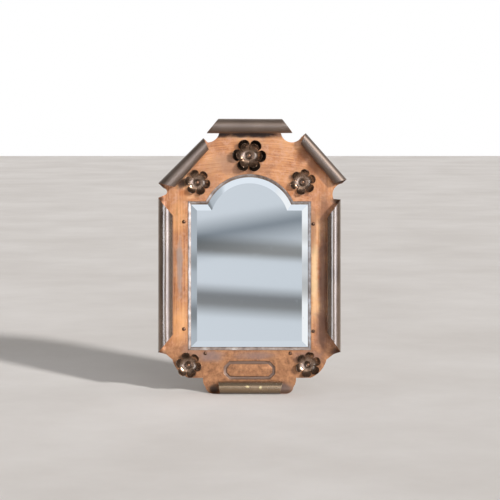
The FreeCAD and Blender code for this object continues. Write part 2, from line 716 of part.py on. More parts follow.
def make_bracket():
    """Bent bracket: a plate screwed to the board and two ears that carry the hinge pin."""
    plate = add("Part::Box", "bracket_plate", Length="2 * sizes.bracket_half_width",
                Width="sizes.bracket_gauge", Height="2 * sizes.bracket_half_height")
    plate.setExpression("Placement", at("-sizes.bracket_half_width", "layout.board_back",
                                        "sizes.strut_height - sizes.bracket_half_height"))
    shapes = [plate]
    for side, left in (("left", "-layout.ear_outside"), ("right", "layout.ear_inside")):
        ear = add("Part::Box", f"{side}_ear", Length="sizes.bracket_gauge",
                  Width="layout.hinge_depth - layout.board_back", Height="2 * sizes.ear_half")
        ear.setExpression("Placement", at(left, "layout.board_back", "sizes.strut_height - sizes.ear_half"))
        tip = add("Part::Cylinder", f"{side}_ear_tip", Radius="sizes.ear_half", Height="sizes.bracket_gauge")
        tip.setExpression("Placement", at(left, "layout.hinge_depth", "sizes.strut_height", "0; 1; 0", "90"))
        shapes += [ear, tip]
    bracket = fuse("bracket_blank", shapes)
    holes = [add("Part::Cylinder", "hinge_hole", Radius="sizes.hinge_radius + sizes.shank_fit",
                 Height="2 * layout.ear_outside")]
    holes[0].setExpression("Placement", at("-layout.ear_outside", "layout.hinge_depth",
                                           "sizes.strut_height", "0; 1; 0", "90"))
    for index, (x, z) in enumerate(screw_places):
        hole = add("Part::Cylinder", f"screw_hole_{index}", Radius="sizes.screw_radius + sizes.shank_fit",
                   Height="sizes.bracket_gauge")
        hole.setExpression("Placement", at(x, "layout.board_back", z, "1; 0; 0", "-90"))
        holes.append(hole)
    drilled = cut("strut_bracket", bracket, fuse("bracket_holes", holes))
    drilled.setExpression("Placement", lean)
    return drilled


def make_hinge_pin():
    """Riveted hinge pin with a domed head outside each ear."""
    rod = add("Part::Cylinder", "hinge_rod", Radius="sizes.hinge_radius", Height="2 * layout.ear_outside")
    rod.setExpression("Placement", at("-layout.ear_outside", "layout.hinge_depth", "sizes.strut_height",
                                      "0; 1; 0", "90"))
    shapes = [rod]
    ball = "sizes.hinge_head_radius / cos(sizes.head_rim_angle)"
    for side, sign, turn in (("left", "-", "-90"), ("right", "", "90")):
        centre = f"{sign}(layout.ear_outside - {ball} * sin(sizes.head_rim_angle))"
        head = add("Part::Sphere", f"{side}_hinge_head", Radius=ball, Angle1="sizes.head_rim_angle")
        head.setExpression("Placement", at(centre, "layout.hinge_depth", "sizes.strut_height",
                                           "0; 1; 0", turn))
        shapes.append(head)
    pin = fuse("strut_pin", shapes)
    pin.setExpression("Placement", lean)
    return pin


def make_strut(floor_block):
    """Tapered wooden strut on the hinge pin. Its heel is cut so that it meets the bracket when the
    strut is open, and its foot is cut level with the floor."""
    body = doc.addObject("PartDesign::Body", "strut_blank")
    plan = new_sketch(body, "strut_plan", "XZ_Plane")
    draw_outline(plan, [
        ("-sizes.strut_top_half", "sizes.strut_heel", None),
        ("sizes.strut_top_half", "sizes.strut_heel", None),
        ("sizes.strut_top_half", "-sizes.strut_neck", None),
        ("sizes.strut_foot_half", "-layout.strut_length", None),
        ("-sizes.strut_foot_half", "-layout.strut_length", None),
        ("-sizes.strut_top_half", "-sizes.strut_neck", None),
    ])
    slab = pad(body, plan, "sizes.strut_thickness")
    slab.Midplane = True
    doc.recompute()
    eye = new_sketch(body, "strut_eye", "YZ_Plane")
    draw_circle(eye, "0", "0", "sizes.hinge_radius + sizes.hinge_clearance")
    bore = pocket(body, eye, "4 * sizes.strut_top_half")
    bore.Midplane = True
    body.setExpression("Placement", f"{lean} * " + at(
        "0", "layout.hinge_depth", "sizes.strut_height", "1; 0; 0", "sizes.open_angle"))

    size = "2 * layout.board_side"
    stop = add("Part::Box", "stop_block", Length=size, Width="layout.board_side", Height=size)
    stop.setExpression("Placement", f"{lean} * " + at(
        "-layout.board_side", "layout.bracket_back + sizes.stop_clearance - layout.board_side",
        "sizes.strut_height - layout.board_side"))
    return cut("easel_strut", cut("strut_with_heel", body, stop), floor_block)


floor = make_floor_block()
sub_parts = [make_frame_sheet(), make_bezel(), make_glass(), make_silvering(), make_backboard(floor)]
sub_parts += make_flower("top_flower", [
    ("outer_petals", "top_flower_outer_petals"), ("inner_petals", "top_flower_inner_petals")])
for flower in flowers[1:]:
    sub_parts += make_flower(flower, [("corner_petals", f"{flower}_petals")])

nails = [
    (stud(f"nail_{index}", "sizes.nail_head_radius", "sizes.nail_radius",
          "sizes.sheet_thickness + sizes.nail_grip"), place)
    for index, place in enumerate(nail_places)
]
sub_parts.append(make_group("frame_nails", nails, "0", "90"))
screws = [
    (stud(f"screw_{index}", "sizes.screw_head_radius", "sizes.screw_radius",
          "sizes.bracket_gauge + sizes.screw_grip"), place)
    for index, place in enumerate(screw_places)
]
sub_parts.append(make_group("bracket_screws", screws, "layout.bracket_back", "-90"))
sub_parts += [make_bracket(), make_hinge_pin(), make_strut(floor)]

doc.recompute()
for item in doc.Objects:
    if "Invalid" in item.State or "Error" in item.State:
        raise RuntimeError(f"{item.Label} failed: {item.State}")
for piece in sub_parts:
    if piece.Shape.isNull() or not piece.Shape.isValid():
        raise RuntimeError(f"{piece.Label} has no valid shape")

os.makedirs("parts", exist_ok=True)
for piece in sub_parts:
    piece.Shape.exportStep(f"parts/{piece.Label}.step")
    print(piece.Label, len(piece.Shape.Solids), round(piece.Shape.Volume))
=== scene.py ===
import math

import bmesh
import bpy
from mathutils import Matrix, Vector, noise


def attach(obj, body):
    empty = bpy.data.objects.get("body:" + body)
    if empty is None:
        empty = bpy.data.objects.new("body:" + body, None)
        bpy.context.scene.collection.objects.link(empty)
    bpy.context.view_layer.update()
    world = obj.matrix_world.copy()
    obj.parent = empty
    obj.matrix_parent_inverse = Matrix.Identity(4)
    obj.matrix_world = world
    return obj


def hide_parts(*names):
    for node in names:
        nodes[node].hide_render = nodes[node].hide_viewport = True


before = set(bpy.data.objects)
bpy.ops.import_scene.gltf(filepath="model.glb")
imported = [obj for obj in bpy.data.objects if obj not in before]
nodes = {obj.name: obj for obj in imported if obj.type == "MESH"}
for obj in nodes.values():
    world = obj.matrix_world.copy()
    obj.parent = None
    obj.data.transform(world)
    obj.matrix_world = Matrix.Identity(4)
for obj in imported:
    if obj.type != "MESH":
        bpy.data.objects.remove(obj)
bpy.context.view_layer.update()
bpy.context.scene.view_settings.view_transform = "Standard"
print("frame loaded:", len(nodes), "nodes")

# Pieces are drawn upright in millimetres: X to the right, Z up, Y back from the front of the copper.
# Then they are stood up as the part is, leaning back on the bottom roll and the foot of the board.
stance = {"lean": 5, "sheet": 0.8, "board": 16, "footRadius": 9.5}
leanAngle = math.radians(stance["lean"])
leanUp = (stance["footRadius"] * (1 - math.cos(leanAngle))
          + (stance["sheet"] - stance["footRadius"]) * math.sin(leanAngle))
leanBack = (leanUp * math.sin(leanAngle) - stance["sheet"] - stance["board"] / 2) / math.cos(leanAngle)
standUp = (Matrix.Scale(0.001, 4) @ Matrix.Translation((0, leanBack, leanUp))
           @ Matrix.Rotation(-leanAngle, 4, "X"))


def hexColor(code):
    parts = [int(code[i:i + 2], 16) / 255 for i in (1, 3, 5)]
    return (*[p / 12.92 if p <= 0.04045 else ((p + 0.055) / 1.055) ** 2.4 for p in parts], 1)


def addNode(tree, kind, inputs=None, stops=None, **settings):
    node = tree.nodes.new(kind)
    for name, value in settings.items():
        setattr(node, name, value)
    for key, value in (inputs or {}).items():
        if isinstance(value, bpy.types.NodeSocket):
            tree.links.new(value, node.inputs[key])
        else:
            node.inputs[key].default_value = value
    for index, (position, color) in enumerate(stops or []):
        elements = node.color_ramp.elements
        element = elements[index] if index < 2 else elements.new(position)
        element.position = position
        element.color = hexColor(color)
    return node


def newMaterial(name, **values):
    material = bpy.data.materials.new(name)
    material.use_nodes = True
    shader = material.node_tree.nodes["Principled BSDF"]
    for key, value in values.items():
        shader.inputs[key.replace("_", " ")].default_value = value
    return material, material.node_tree, shader


def perMeter(millimetres):
    return 1000 / millimetres


def meters(millimetres):
    return [size / 1000 for size in millimetres]


# Spots over a colour, worn marks and painted light and shade alike: place (x, z) and half sizes in
# millimetres, tint and share. A noise eats into them, so that they fade raggedly between heart and edge,
# counted in half sizes less the noise.
wearAndLightFade = {"fray": 1.6, "edge": 0.4, "heart": -0.5}


def addWearAndPaintedLight(tree, place, fray, base, spots):
    for (x, z), (wide, high), tint, most in spots:
        apart = addNode(tree, "ShaderNodeVectorMath", {0: place, 1: meters((x, 0, z))}, operation="SUBTRACT")
        scaled = addNode(tree, "ShaderNodeVectorMath", {
            0: apart.outputs[0], 1: (perMeter(wide), 0, perMeter(high))}, operation="MULTIPLY")
        reach = addNode(tree, "ShaderNodeVectorMath", {0: scaled.outputs[0]}, operation="LENGTH")
        ragged = addNode(tree, "ShaderNodeMath", {
            0: fray, 1: -wearAndLightFade["fray"], 2: reach.outputs["Value"]}, operation="MULTIPLY_ADD")
        part = addNode(tree, "ShaderNodeMapRange", {
            "Value": ragged.outputs[0], "From Min": wearAndLightFade["edge"], "From Max": wearAndLightFade["heart"],
            "To Max": most}, interpolation_type="SMOOTHSTEP")
        base = addNode(tree, "ShaderNodeMix", {
            0: part.outputs[0], 6: base, 7: hexColor(tint)}, data_type="RGBA").outputs[2]
    return base


# Rolled copper sheet, polished and lacquered. The rolling left long streaks, level above and below the
# glass and upright beside it; handling and damp left grey-brown clouds, most of them near the foot.
# Sizes are in millimetres. A zone is where it starts and where it is full; streakBend arches the level
# streaks.
copper = {"levelStreak": (55, 1.9), "uprightStreak": (2.2, 70), "streakBend": 1.1, "cloud": 48, "damp": 30,
          "mottle": 7, "besideGlass": (86, 100), "aboveFoot": (62, 80), "brownFoot": (85, 55)}
copperWearAndPaintedLight = [
    # Beside the glass: a grey stain, bright bands of painted highlight, the right roll's painted shadow in
    # brown
    ((-105, 190), (5, 54), "#9c887c", 0.8), ((-108, 262), (16, 30), "#f0b274", 0.4),
    ((-108, 105), (16, 34), "#eba96c", 0.5), ((98, 180), (6, 70), "#f0cf9c", 0.6),
    ((111, 165), (9, 118), "#6e4c3c", 0.8),
    # Clouds below the glass; above it, painted shadows of the top flower, the upper right roll and flower
    ((-58, 55), (24, 10), "#86706a", 0.7), ((12, 56), (36, 7), "#8a7067", 0.6),
    ((-40, 345), (26, 16), "#a4785c", 0.6), ((106, 332), (12, 30), "#c07a48", 0.35),
    ((58, 300), (18, 13), "#b06a35", 0.5),
    # Painted shadow under the top roll
    ((1, 388), (86, 6), "#24150c", 0.95),
    # Clouds round the flowers; on the right, a brown band by the glass and painted shadow of the right roll
    ((-62, 330), (20, 20), "#a8734f", 0.5), ((86, 52), (24, 14), "#9c7869", 0.6),
    ((-85, 62), (20, 14), "#a57c66", 0.6), ((112, 268), (10, 18), "#7d5238", 0.6),
    ((96, 240), (5, 34), "#8a5f44", 0.6), ((109, 98), (14, 36), "#805741", 0.75),
    # Inside the ends of the foot's curl: painted shade at the left end, a painted grey reflection at the
    # right
    ((-54, 5), (12, 10), "#38261b", 0.9), ((54, 6), (14, 11), "#66534a", 0.9),
    # Browned along the glass, and painted shadow of the upper right roll beside it
    ((-10, 332), (44, 9), "#a06f50", 0.5), ((10, 70), (80, 8), "#8d6a55", 0.5),
    ((78, 357), (13, 13), "#7d451e", 0.75), ((97, 338), (13, 13), "#7d451e", 0.75),
    # Painted shade in the mouths of the rolls, and painted shadow by the upper left roll and flower
    ((-104, 316), (12, 10), "#2c1a10", 0.9), ((-97, 300), (12, 7), "#b0622c", 0.6),
    ((136, 318), (14, 8), "#3a2417", 0.9), ((134, 289), (11, 7), "#3a2417", 0.9),
    ((-134, 309), (11, 7), "#3a2417", 0.9), ((-133, 291), (9, 6), "#3a2417", 0.8),
    ((-134, 60), (10, 7), "#4d3020", 0.8), ((133, 60), (11, 8), "#4d3020", 0.8),
]


def makeCopper():
    material, tree, shader = newMaterial("lacqueredCopper", Metallic=0.45)
    place = addNode(tree, "ShaderNodeTexCoord").outputs["Object"]
    axes = addNode(tree, "ShaderNodeSeparateXYZ", {0: place})
    square = addNode(tree, "ShaderNodeMath", {
        0: axes.outputs["X"], 1: axes.outputs["X"]}, operation="MULTIPLY")
    arched = addNode(tree, "ShaderNodeMath", {
        0: square.outputs[0], 1: copper["streakBend"], 2: axes.outputs["Z"]}, operation="MULTIPLY_ADD")
    bent = addNode(tree, "ShaderNodeCombineXYZ", {
        "X": axes.outputs["X"], "Y": axes.outputs["Y"], "Z": arched.outputs[0]}).outputs[0]
    streaks = []
    for source, (wide, high) in ((bent, copper["levelStreak"]), (place, copper["uprightStreak"])):
        drawn = addNode(tree, "ShaderNodeMapping", {
            "Vector": source, "Scale": (perMeter(wide), 1, perMeter(high))})
        streaks.append(addNode(tree, "ShaderNodeTexNoise", {
            "Vector": drawn.outputs[0], "Scale": 1, "Detail": 4, "Roughness": 0.6, "Distortion": 0.3}))
    across = addNode(tree, "ShaderNodeMath", {0: axes.outputs["X"]}, operation="ABSOLUTE")
    start, full = meters(copper["besideGlass"])
    beside = addNode(tree, "ShaderNodeMapRange", {
        "Value": across.outputs[0], "From Min": start, "From Max": full}, interpolation_type="SMOOTHSTEP")
    start, full = meters(copper["aboveFoot"])
    above = addNode(tree, "ShaderNodeMapRange", {
        "Value": axes.outputs["Z"], "From Min": start, "From Max": full}, interpolation_type="SMOOTHSTEP")
    upright = addNode(tree, "ShaderNodeMath", {
        0: beside.outputs[0], 1: above.outputs[0]}, operation="MULTIPLY")
    streak = addNode(tree, "ShaderNodeMix", {
        0: upright.outputs[0], 2: streaks[0].outputs[0], 3: streaks[1].outputs[0]})
    cloud = addNode(tree, "ShaderNodeTexNoise", {
        "Vector": place, "Scale": perMeter(copper["cloud"]), "Detail": 3, "Roughness": 0.55})
    tone = addNode(tree, "ShaderNodeMix", {0: 0.5, 2: streak.outputs[0], 3: cloud.outputs[0]})
    metal = addNode(tree, "ShaderNodeValToRGB", {0: tone.outputs[0]}, stops=[
        (0.32, "#764628"), (0.68, "#e4b482"), (0.43, "#ae7046"), (0.54, "#c98d5d")])
    damp = addNode(tree, "ShaderNodeTexNoise", {
        "Vector": place, "Scale": perMeter(copper["damp"]), "Detail": 5, "Roughness": 0.65,
        "Distortion": 0.4})
    dampPart = addNode(tree, "ShaderNodeMapRange", {
        "Value": damp.outputs[0], "From Min": 0.5, "From Max": 0.72, "To Max": 0.65})
    stained = addNode(tree, "ShaderNodeMix", {
        0: dampPart.outputs[0], 6: metal.outputs[0], 7: hexColor("#946b51")}, data_type="RGBA")
    mottle = addNode(tree, "ShaderNodeTexNoise", {
        "Vector": bent, "Scale": perMeter(copper["mottle"]), "Detail": 6, "Roughness": 0.75})
    bloomPart = addNode(tree, "ShaderNodeMapRange", {
        "Value": mottle.outputs[0], "From Min": 0.46, "From Max": 0.62, "To Max": 0.55})
    bloomed = addNode(tree, "ShaderNodeMix", {
        0: bloomPart.outputs[0], 6: stained.outputs[2], 7: hexColor("#c9997c")}, data_type="RGBA")
    start, full = meters(copper["brownFoot"])
    footPart = addNode(tree, "ShaderNodeMapRange", {
        "Value": axes.outputs["Z"], "From Min": start, "From Max": full, "To Max": 0.85},
        interpolation_type="SMOOTHSTEP")
    footBrown = addNode(tree, "ShaderNodeValToRGB", {0: mottle.outputs[0]}, stops=[
        (0.36, "#714a31"), (0.64, "#b47c50")])
    footed = addNode(tree, "ShaderNodeMix", {
        0: footPart.outputs[0], 6: bloomed.outputs[2], 7: footBrown.outputs[0]}, data_type="RGBA")
    # Stains and worn marks, with painted shadow, shade and highlights, from the list of spots above
    wornAndPaintedLight = addWearAndPaintedLight(tree, place, damp.outputs[0], footed.outputs[2], copperWearAndPaintedLight)
    groove = addNode(tree, "ShaderNodeAttribute", attribute_name="grooveDirt")
    grooved = addNode(tree, "ShaderNodeMix", {
        0: groove.outputs["Fac"], 6: wornAndPaintedLight, 7: hexColor("#6f5a4e")}, data_type="RGBA")
    tree.links.new(grooved.outputs[2], shader.inputs["Base Color"])
    gloss = addNode(tree, "ShaderNodeMapRange", {
        "Value": damp.outputs[0], "From Min": 0.35, "From Max": 0.75, "To Min": 0.44, "To Max": 0.58})
    tree.links.new(gloss.outputs[0], shader.inputs["Roughness"])
    lines = addNode(tree, "ShaderNodeBump", {
        "Height": streak.outputs[0], "Strength": 0.35, "Distance": 0.0003})
    tree.links.new(lines.outputs[0], shader.inputs["Normal"])
    return material


# The back of the same sheet, left with its dark brown bronzing. It shows on the outside of the rolls: a metal
# brown, with faint clouds. Zones are the heights where they start and are full, share and tint: dusky and
# satin on the three upper rolls, rubbed brassy on the roll that stands on the floor, and painted shade
# under it.
bronzing = {"cloud": 40, "satin": 0.4, "zones": {
    "upperRolls": (292, 302, 0.6, "#57463a"), "foot": (30, 12, 0.7, "#8e7554"),
    # under: painted shade at the bottom of the floor roll
    "under": (8, 1, 0.8, "#43331f")}}
bronzeWear = [((-3, 12.5), (3, 2), "#d8c391", 0.9), ((16.5, 11), (2, 2.6), "#d8c391", 0.9)]


def makeBronzing():
    material, tree, shader = newMaterial("brownBronzedCopper", Metallic=0.8, Coat_Weight=1)
    place = addNode(tree, "ShaderNodeTexCoord").outputs["Object"]
    axes = addNode(tree, "ShaderNodeSeparateXYZ", {0: place})
    cloud = addNode(tree, "ShaderNodeTexNoise", {
        "Vector": place, "Scale": perMeter(bronzing["cloud"]), "Detail": 4, "Roughness": 0.5})
    brown = addNode(tree, "ShaderNodeValToRGB", {0: cloud.outputs[0]}, stops=[
        (0.25, "#715c4c"), (0.75, "#998270"), (0.5, "#856f5e")])
    toned = brown.outputs[0]
    parts = {}
    for zone, (start, full, most, tint) in bronzing["zones"].items():
        parts[zone] = addNode(tree, "ShaderNodeMapRange", {
            "Value": axes.outputs["Z"], "From Min": start / 1000, "From Max": full / 1000,
            "To Max": most}).outputs[0]
        toned = addNode(tree, "ShaderNodeMix", {
            0: parts[zone], 6: toned, 7: hexColor(tint)}, data_type="RGBA").outputs[2]
    scuffed = addWearAndPaintedLight(tree, place, cloud.outputs[0], toned, bronzeWear)
    tree.links.new(scuffed, shader.inputs["Base Color"])
    gloss = addNode(tree, "ShaderNodeMapRange", {
        "Value": cloud.outputs[0], "From Min": 0.3, "From Max": 0.7, "To Min": 0.22, "To Max": 0.29})
    satin = addNode(tree, "ShaderNodeMath", {
        0: parts["upperRolls"], 1: bronzing["satin"], 2: gloss.outputs[0]}, operation="MULTIPLY_ADD")
    for finish in ("Roughness", "Coat Roughness"):
        tree.links.new(satin.outputs[0], shader.inputs[finish])
    return material


# Stamped bronze flowers: rubbed lighter on the bowls of the petals. A darker copy of the same bronze on the
# cups and on the layer behind is painted shade.
def makeFlowerBronze(name, dark, brown, light):
    material, tree, shader = newMaterial(name, Metallic=0.9)
    place = addNode(tree, "ShaderNodeTexCoord").outputs["Object"]
    cloud = addNode(tree, "ShaderNodeTexNoise", {
        "Vector": place, "Scale": perMeter(9), "Detail": 5, "Roughness": 0.6})
    tone = addNode(tree, "ShaderNodeValToRGB", {0: cloud.outputs[0]}, stops=[
        (0.3, dark), (0.72, light), (0.5, brown)])
    tree.links.new(tone.outputs[0], shader.inputs["Base Color"])
    gloss = addNode(tree, "ShaderNodeMapRange", {
        "Value": cloud.outputs[0], "From Min": 0.3, "From Max": 0.7, "To Min": 0.2, "To Max": 0.3})
    tree.links.new(gloss.outputs[0], shader.inputs["Roughness"])
    dents = addNode(tree, "ShaderNodeBump", {
        "Height": cloud.outputs[0], "Strength": 0.12, "Distance": 0.0004})
    tree.links.new(dents.outputs[0], shader.inputs["Normal"])
    return material


# Copper nails and flower pins with round heads: the nails tarnished dark, the pins still warm and polished.
def makeNailCopper(name, dark, light):
    material, tree, shader = newMaterial(name, Metallic=1.0)
    place = addNode(tree, "ShaderNodeTexCoord").outputs["Object"]
    speck = addNode(tree, "ShaderNodeTexNoise", {
        "Vector": place, "Scale": perMeter(2.5), "Detail": 4, "Roughness": 0.6})
    warm = addNode(tree, "ShaderNodeValToRGB", {0: speck.outputs[0]}, stops=[
        (0.35, dark), (0.68, light)])
    tree.links.new(warm.outputs[0], shader.inputs["Base Color"])
    gloss = addNode(tree, "ShaderNodeMapRange", {
        "Value": speck.outputs[0], "From Min": 0.3, "From Max": 0.7, "To Min": 0.42, "To Max": 0.28})
    tree.links.new(gloss.outputs[0], shader.inputs["Roughness"])
    return material


# Pewter-grey strip of tinned copper: dull, with brown tarnish and small bright scuffs along it.
def makeTinnedStrip():
    material, tree, shader = newMaterial("tarnishedTinnedStrip", Metallic=1.0)
    place = addNode(tree, "ShaderNodeTexCoord").outputs["Object"]
    tarnish = addNode(tree, "ShaderNodeTexNoise", {
        "Vector": place, "Scale": perMeter(16), "Detail": 5, "Roughness": 0.65})
    grey = addNode(tree, "ShaderNodeValToRGB", {0: tarnish.outputs[0]}, stops=[
        (0.32, "#6b5a50"), (0.7, "#b9aea4"), (0.5, "#948378")])
    tree.links.new(grey.outputs[0], shader.inputs["Base Color"])
    scuffs = addNode(tree, "ShaderNodeTexNoise", {
        "Vector": place, "Scale": perMeter(3), "Detail": 3, "Roughness": 0.6})
    gloss = addNode(tree, "ShaderNodeMapRange", {
        "Value": scuffs.outputs[0], "From Min": 0.3, "From Max": 0.7, "To Min": 0.3, "To Max": 0.5})
    tree.links.new(gloss.outputs[0], shader.inputs["Roughness"])
    dents = addNode(tree, "ShaderNodeBump", {
        "Height": scuffs.outputs[0], "Strength": 0.25, "Distance": 0.0003})
    tree.links.new(dents.outputs[0], shader.inputs["Normal"])
    return material


# Silvered glass: the coat behind the glass gives the reflection, a little blue-green from the glass.
# A few grey specks show where the silver has lifted.
def makeSilveredGlass():
    material, tree, shader = newMaterial("silveredGlass", Metallic=1.0)
    place = addNode(tree, "ShaderNodeTexCoord").outputs["Object"]
    specks = addNode(tree, "ShaderNodeTexNoise", {
        "Vector": place, "Scale": perMeter(7), "Detail": 6, "Roughness": 0.7})
    lifted = addNode(tree, "ShaderNodeMapRange", {
        "Value": specks.outputs[0], "From Min": 0.7, "From Max": 0.78, "To Max": 0.5})
    silver = addNode(tree, "ShaderNodeMix", {
        0: lifted.outputs[0], 6: hexColor("#eef2f5"), 7: hexColor("#8d8f92")}, data_type="RGBA")
    tree.links.new(silver.outputs[2], shader.inputs["Base Color"])
    haze = addNode(tree, "ShaderNodeMapRange", {
        "Value": specks.outputs[0], "From Min": 0.6, "From Max": 0.8, "To Min": 0.02, "To Max": 0.06})
    tree.links.new(haze.outputs[0], shader.inputs["Roughness"])
    return material


# Grey protective paint over the silver coat, hidden in the board's pocket.
def makeSilverBacking():
    material, tree, shader = newMaterial("greyMirrorBacking", Roughness=0.7)
    place = addNode(tree, "ShaderNodeTexCoord").outputs["Object"]
    brushed = addNode(tree, "ShaderNodeTexNoise", {"Vector": place, "Scale": perMeter(12), "Detail": 4})
    paint = addNode(tree, "ShaderNodeValToRGB", {0: brushed.outputs[0]}, stops=[
        (0.35, "#6d6864"), (0.65, "#8c8783")])
    tree.links.new(paint.outputs[0], shader.inputs["Base Color"])
    return material


# Planed softwood, stained brown: fine upright grain with darker late wood, a dull open surface. Rings and
# fibres are (width, length) in millimetres, and ringLines is how closely the late wood follows.
wood = {"rings": (40, 700), "fibres": (0.9, 28), "ringLines": 75}


def makeWood(name, pale, dark, grainTurn):
    material, tree, shader = newMaterial(name)
    place = addNode(tree, "ShaderNodeTexCoord").outputs["Object"]
    turned = addNode(tree, "ShaderNodeMapping", {
        "Vector": place, "Rotation": (math.radians(grainTurn), 0, 0)})
    grains = []
    for (wide, long), detail, rough, bent in ((wood["rings"], 2, 0.5, 0.8), (wood["fibres"], 3, 0.6, 0)):
        drawn = addNode(tree, "ShaderNodeMapping", {
            "Vector": turned.outputs[0], "Scale": (perMeter(wide), perMeter(wide), perMeter(long))})
        grains.append(addNode(tree, "ShaderNodeTexNoise", {
            "Vector": drawn.outputs[0], "Scale": 1, "Detail": detail, "Roughness": rough,
            "Distortion": bent}))
    rings, fibres = grains
    lines = addNode(tree, "ShaderNodeMath", {
        0: rings.outputs[0], 1: wood["ringLines"]}, operation="MULTIPLY")
    wave = addNode(tree, "ShaderNodeMath", {0: lines.outputs[0]}, operation="SINE")
    late = addNode(tree, "ShaderNodeMapRange", {
        "Value": wave.outputs[0], "From Min": -0.6, "From Max": 1, "To Max": 0.5},
        interpolation_type="SMOOTHSTEP")
    grain = addNode(tree, "ShaderNodeMix", {0: 0.5, 2: late.outputs[0], 3: fibres.outputs[0]})
    stain = addNode(tree, "ShaderNodeValToRGB", {0: grain.outputs[0]}, stops=[(0.1, pale), (0.75, dark)])
    tree.links.new(stain.outputs[0], shader.inputs["Base Color"])
    sheen = addNode(tree, "ShaderNodeMapRange", {
        "Value": fibres.outputs[0], "From Min": 0.3, "From Max": 0.7, "To Min": 0.5, "To Max": 0.68})
    tree.links.new(sheen.outputs[0], shader.inputs["Roughness"])
    pores = addNode(tree, "ShaderNodeBump", {
        "Height": grain.outputs[0], "Strength": 0.3, "Distance": 0.0003})
    tree.links.new(pores.outputs[0], shader.inputs["Normal"])
    return material


# Rolled brass, aged: yellow-brown with darker fingermarks, satin.
def makeBrass():
    material, tree, shader = newMaterial("agedBrass", Metallic=1.0)
    place = addNode(tree, "ShaderNodeTexCoord").outputs["Object"]
    marks = addNode(tree, "ShaderNodeTexNoise", {
        "Vector": place, "Scale": perMeter(10), "Detail": 5, "Roughness": 0.6})
    yellow = addNode(tree, "ShaderNodeValToRGB", {0: marks.outputs[0]}, stops=[
        (0.33, "#7f6333"), (0.68, "#c6a566")])
    tree.links.new(yellow.outputs[0], shader.inputs["Base Color"])
    gloss = addNode(tree, "ShaderNodeMapRange", {
        "Value": marks.outputs[0], "From Min": 0.3, "From Max": 0.7, "To Min": 0.45, "To Max": 0.3})
    tree.links.new(gloss.outputs[0], shader.inputs["Roughness"])
    return material


lacqueredCopper = makeCopper()
bronzedCopper = makeBronzing()
flowerBronze = makeFlowerBronze("rubbedFlowerBronze", "#64503f", "#806755", "#9c816d")
# A darker copy of the flower bronze: painted shade on the cups and on the layer of petals behind
shadedBronze = makeFlowerBronze("shadedFlowerBronze", "#4a3b30", "#635042", "#7c6757")
nailCopper = makeNailCopper("tarnishedCopperNails", "#3f2e24", "#93705a")
pinCopper = makeNailCopper("polishedCopperPins", "#7d5640", "#d8a684")
tinnedStrip = makeTinnedStrip()
silveredGlass = makeSilveredGlass()
mirrorBacking = makeSilverBacking()
boardWood = makeWood("stainedPine", "#a98458", "#6b4a2c", 5)
strutWood = makeWood("stainedPineStrut", "#a37c50", "#644427", -14)
agedBrass = makeBrass()
print("materials made")


def wholeMesh(bm):
    return bm.verts[:] + bm.edges[:] + bm.faces[:]


# Cuts off what lies below a plane and closes the cut.
def trimBelow(bm, point, up, near):
    trim = bmesh.ops.bisect_plane(bm, geom=wholeMesh(bm), dist=near, plane_co=point, plane_no=up,
                                  clear_inner=True)
    rim = [item for item in trim["geom_cut"] if isinstance(item, bmesh.types.BMEdge)]
    bmesh.ops.edgeloop_fill(bm, edges=rim)
    bmesh.ops.recalc_face_normals(bm, faces=bm.faces)


# Places a piece and makes its object. Edges past the sharp angle, in degrees, are not smoothed.
def finishPiece(bm, name, materials, replaced, body="mirror", place=standUp, levelFoot=False,
                sharp=None):
    bmesh.ops.transform(bm, matrix=place, verts=bm.verts)
    if levelFoot:
        trimBelow(bm, (0, 0, 0), (0, 0, 1), 1e-7)
    mesh = bpy.data.meshes.new(name)
    bm.to_mesh(mesh)
    bm.free()
    mesh.shade_smooth()
    if sharp:
        mesh.set_sharp_from_angle(angle=math.radians(sharp))
    for material in materials:
        mesh.materials.append(material)
    piece = bpy.data.objects.new(name, mesh)
    bpy.context.scene.collection.objects.link(piece)
    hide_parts(*replaced)
    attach(piece, body)
    return piece


def roundEdges(piece, width, segments=2, angle=35):
    bevel = piece.modifiers.new("edges", "BEVEL")
    bevel.width = width / 1000
    bevel.segments = segments
    bevel.limit_method = "ANGLE"
    bevel.angle_limit = math.radians(angle)
    bevel.harden_normals = True


# A closed outline through corners (x, z, bulge). A bulge is the height of the arc that comes to that
# corner from the one before, to the left of the way round.
def drawOutline(bm, corners, depth, arcSteps=16):
    known = set(bm.edges)
    points = [Vector((x, depth, z)) for x, z, _ in corners]
    for index, (_, _, bulge) in enumerate(corners):
        start, end = points[index - 1], points[index]
        if not bulge:
            bm.edges.new((bm.verts.new(start), bm.verts.new(end)))
            continue
        chord = end - start
        radius = (chord.length_squared / 4 + bulge * bulge) / (2 * abs(bulge))
        left = Vector((-chord.z, 0, chord.x)).normalized()
        centre = (start + end) / 2 + left * (bulge - math.copysign(radius, bulge))
        sweep = math.copysign(2 * math.asin(chord.length / 2 / radius), bulge)
        bmesh.ops.spin(bm, geom=[bm.verts.new(start)], cent=centre, axis=(0, 1, 0), angle=sweep,
                       steps=arcSteps)
    bmesh.ops.remove_doubles(bm, verts=bm.verts, dist=0.01)
    return [edge for edge in bm.edges if edge not in known]


# Arch-topped window of the sheet, which the strip, the glass and the board's pocket follow with an inset.
window = {"halfWidth": 93, "bottom": 65, "shoulder": 289.5, "archHalf": 66, "archRise": 41}
archRadius = (window["archHalf"] ** 2 + window["archRise"] ** 2) / (2 * window["archRise"])


def archCorners(inset):
    side = window["halfWidth"] - inset
    bottom = window["bottom"] + inset
    shoulder = window["shoulder"] - inset
    rise = window["archRise"]
    spring = math.sqrt(rise * (2 * (archRadius - inset) - rise))
    return [(-side, bottom, 0), (-side, shoulder, 0), (-spring, shoulder, 0),
            (spring, shoulder, rise), (side, shoulder, 0), (side, bottom, 0)]


